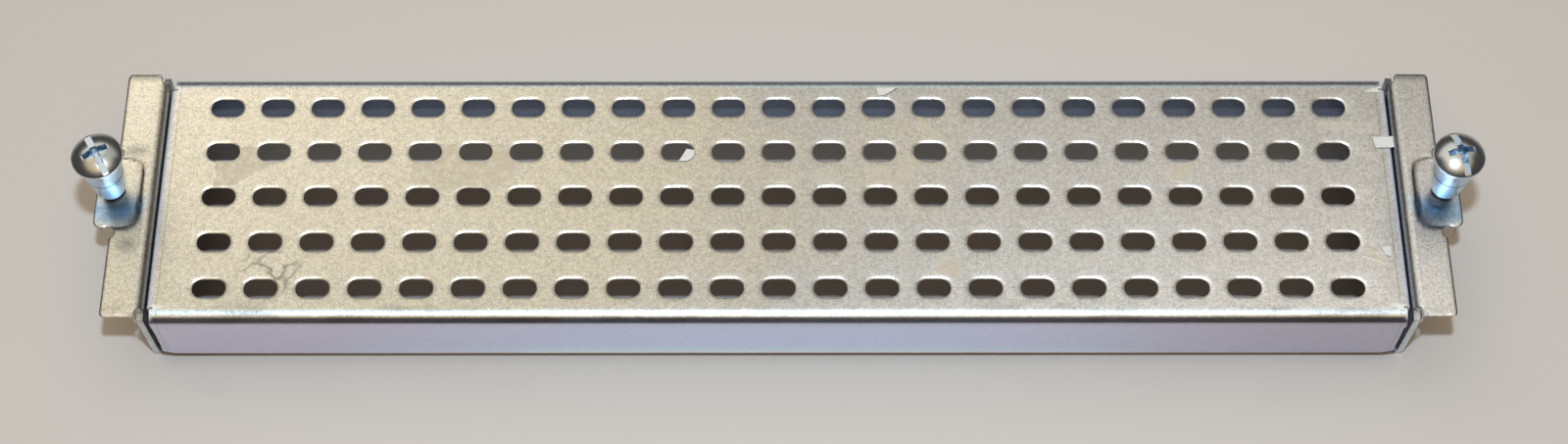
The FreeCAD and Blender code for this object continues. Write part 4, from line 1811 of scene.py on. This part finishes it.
@dataclass(frozen=True)
class SoftLamp:
    """One soft rectangular lamp.

    Attributes:
        name: Name of the lamp.
        place: Where it stands, in metres.
        size: Its width and height, in metres.
        power: Its power in watts.
        colour: Its colour.
    """

    name: str
    place: Triple
    size: tuple[float, float]
    power: float
    colour: Triple

    def build(self) -> Piece:
        """Makes the lamp, aimed at the plate, and returns it."""
        light = bpy.data.lights.new(self.name, "AREA")
        light.shape = "RECTANGLE"
        light.size, light.size_y = self.size
        light.energy = self.power
        light.color = self.colour
        made = bpy.data.objects.new(self.name, light)
        made.location = self.place
        made.rotation_euler = Vector(self.place).to_track_quat("Z", "Y").to_euler()
        bpy.context.scene.collection.objects.link(made)
        return made


@dataclass
class Studio:
    """Floor, light and camera.

    The camera is given by the plate's own frame: the point of the face that it looks at, how far it stands
    from there, and its angles in degrees. The focal length is in pixels of an image as wide as image_width.
    The sky's fades run over a direction of length one.
    """

    image_width: float = 1600.0
    focal: float = 2719.0
    elevation: float = 62.77
    azimuth: float = -0.33
    roll: float = 0.26
    distance: float = 396.8
    target: Triple = (0.80, -4.37, 13.0)
    sensor: float = 36.0
    clip_start: float = 0.01
    floor_half: float = 4000.0
    front_sky: RGBA = (0.95, 0.66, 0.33, 1.0)
    rear_sky: RGBA = (0.60, 0.55, 0.46, 1.0)
    low_sky: RGBA = (0.07, 0.062, 0.055, 1.0)
    plain_sky: RGBA = (0.88, 0.88, 0.87, 1.0)
    front_to_rear: Fade = Fade(-0.5, 0.4)
    behind: Fade = Fade(0.15, 0.42, 0.0, -0.22)
    overhead: Fade = Fade(0.62, 0.84)
    lamps: tuple[SoftLamp, ...] = (
        SoftLamp("warm_rear_lamp", (-0.45, 0.66, 1.15), (1.6, 1.2), 2.6, (1.0, 0.90, 0.72)),
        SoftLamp("cool_key_lamp", (0.004, -0.132, 0.462), (0.022, 0.018), 1.32, (0.73, 0.88, 1.0)),
    )

    def floor(self) -> Piece:
        """A plain floor at the height of the hems."""
        place = self.floor_half * np.linspace(-1, 1, 9)
        points = np.stack(np.broadcast_arrays(place[:, None], place, 0.0), axis=-1)
        made = Patch.from_grid(points).to_object("pale_floor")
        made.data.materials.append(PaleFloor().material())
        return made

    def camera(self) -> Piece:
        """The camera at the photographed angle."""
        lift, swing, tip = (math.radians(a) for a in (self.elevation, self.azimuth, self.roll))
        back = Vector((math.sin(swing) * math.cos(lift), -math.cos(swing) * math.cos(lift), math.sin(lift)))
        level = Vector((math.cos(swing), math.sin(swing), 0))
        upright = back.cross(level)
        right = math.cos(tip) * level + math.sin(tip) * upright
        up = math.cos(tip) * upright - math.sin(tip) * level
        eye = (Vector(self.target) + self.distance * back) * MM
        data = bpy.data.cameras.new("camera")
        data.sensor_fit = "HORIZONTAL"
        data.sensor_width = self.sensor
        data.lens = self.sensor * self.focal / self.image_width
        data.clip_start = self.clip_start
        made = bpy.data.objects.new("camera", data)
        made.matrix_world = Matrix.Translation(eye) @ Matrix((right, up, back)).transposed().to_4x4()
        bpy.context.scene.collection.objects.link(made)
        bpy.context.scene.camera = made
        return made

    def sky(self) -> bpy.types.World:
        """Soft light from all round, pale overhead and darker towards the horizon."""
        world = bpy.data.worlds.new("soft_surround")
        world.use_nodes = True
        sheet = NodeSheet(world.node_tree)
        _, y, z = sheet.axes(sheet.add("TexCoord").outputs["Generated"])
        lower = sheet.step(y, self.behind)
        limits = [sheet.math("ADD", lower, limit) for limit in (self.overhead.start, self.overhead.end)]
        high = sheet.mix(sheet.step(y, self.front_to_rear), self.front_sky, self.rear_sky)
        shaded = sheet.mix(sheet.ramp(z, *limits), self.low_sky, high)
        seen = sheet.mix(sheet.add("LightPath").outputs["Is Camera Ray"], shaded, self.plain_sky)
        sheet.feed(world.node_tree.nodes["Background"].inputs["Color"], seen)
        bpy.context.scene.world = world
        return world

    def build(self) -> None:
        """Sets up the whole studio."""
        self.floor()
        self.camera()
        self.sky()
        for lamp in self.lamps:
            lamp.build()
        bpy.context.scene.view_settings.view_transform = "Standard"


def spring_travel(side: Side) -> float:
    """How far a screw can be pushed down, in millimetres, from its joint in the frame."""
    name = side.word + "_screw_push"
    limits = [joint["range_m"] for joint in frame["joints"] if joint["name"] == name]
    return -limits[0][0] / MM


def main() -> None:
    """Builds every piece in order and reports each one."""
    logging.basicConfig(level=logging.INFO, format="%(name)s: %(message)s")
    effects = Effects()
    panel = FoldedPanel()
    made = panel.build()
    panel.dress(made, effects)
    LOG.info("%s with %d faces before its thickness", made.name, len(made.data.polygons))
    screws = [CaptiveScrew(Side.LEFT, drive_angle=-60.0), CaptiveScrew(Side.RIGHT, drive_angle=-77.0)]
    plating = TurnedBright().material(effects, screws[0])
    wire = DrawnWire().material(effects)
    for screw in screws:
        turned = screw.build()
        screw.dress(turned, plating)
        spring = CoilSpring(screw.side)
        coil = spring.build()
        spring.dress(coil, wire, spring_travel(screw.side))
        for piece in (turned, coil):
            LOG.info("%s with %d faces", piece.name, len(piece.data.polygons))
    scraps = LabelRemains().build(BlankPaper().material(effects))
    LOG.info("%d scraps of blank label", len(scraps))
    Studio().build()


if __name__ == "__main__":
    main()
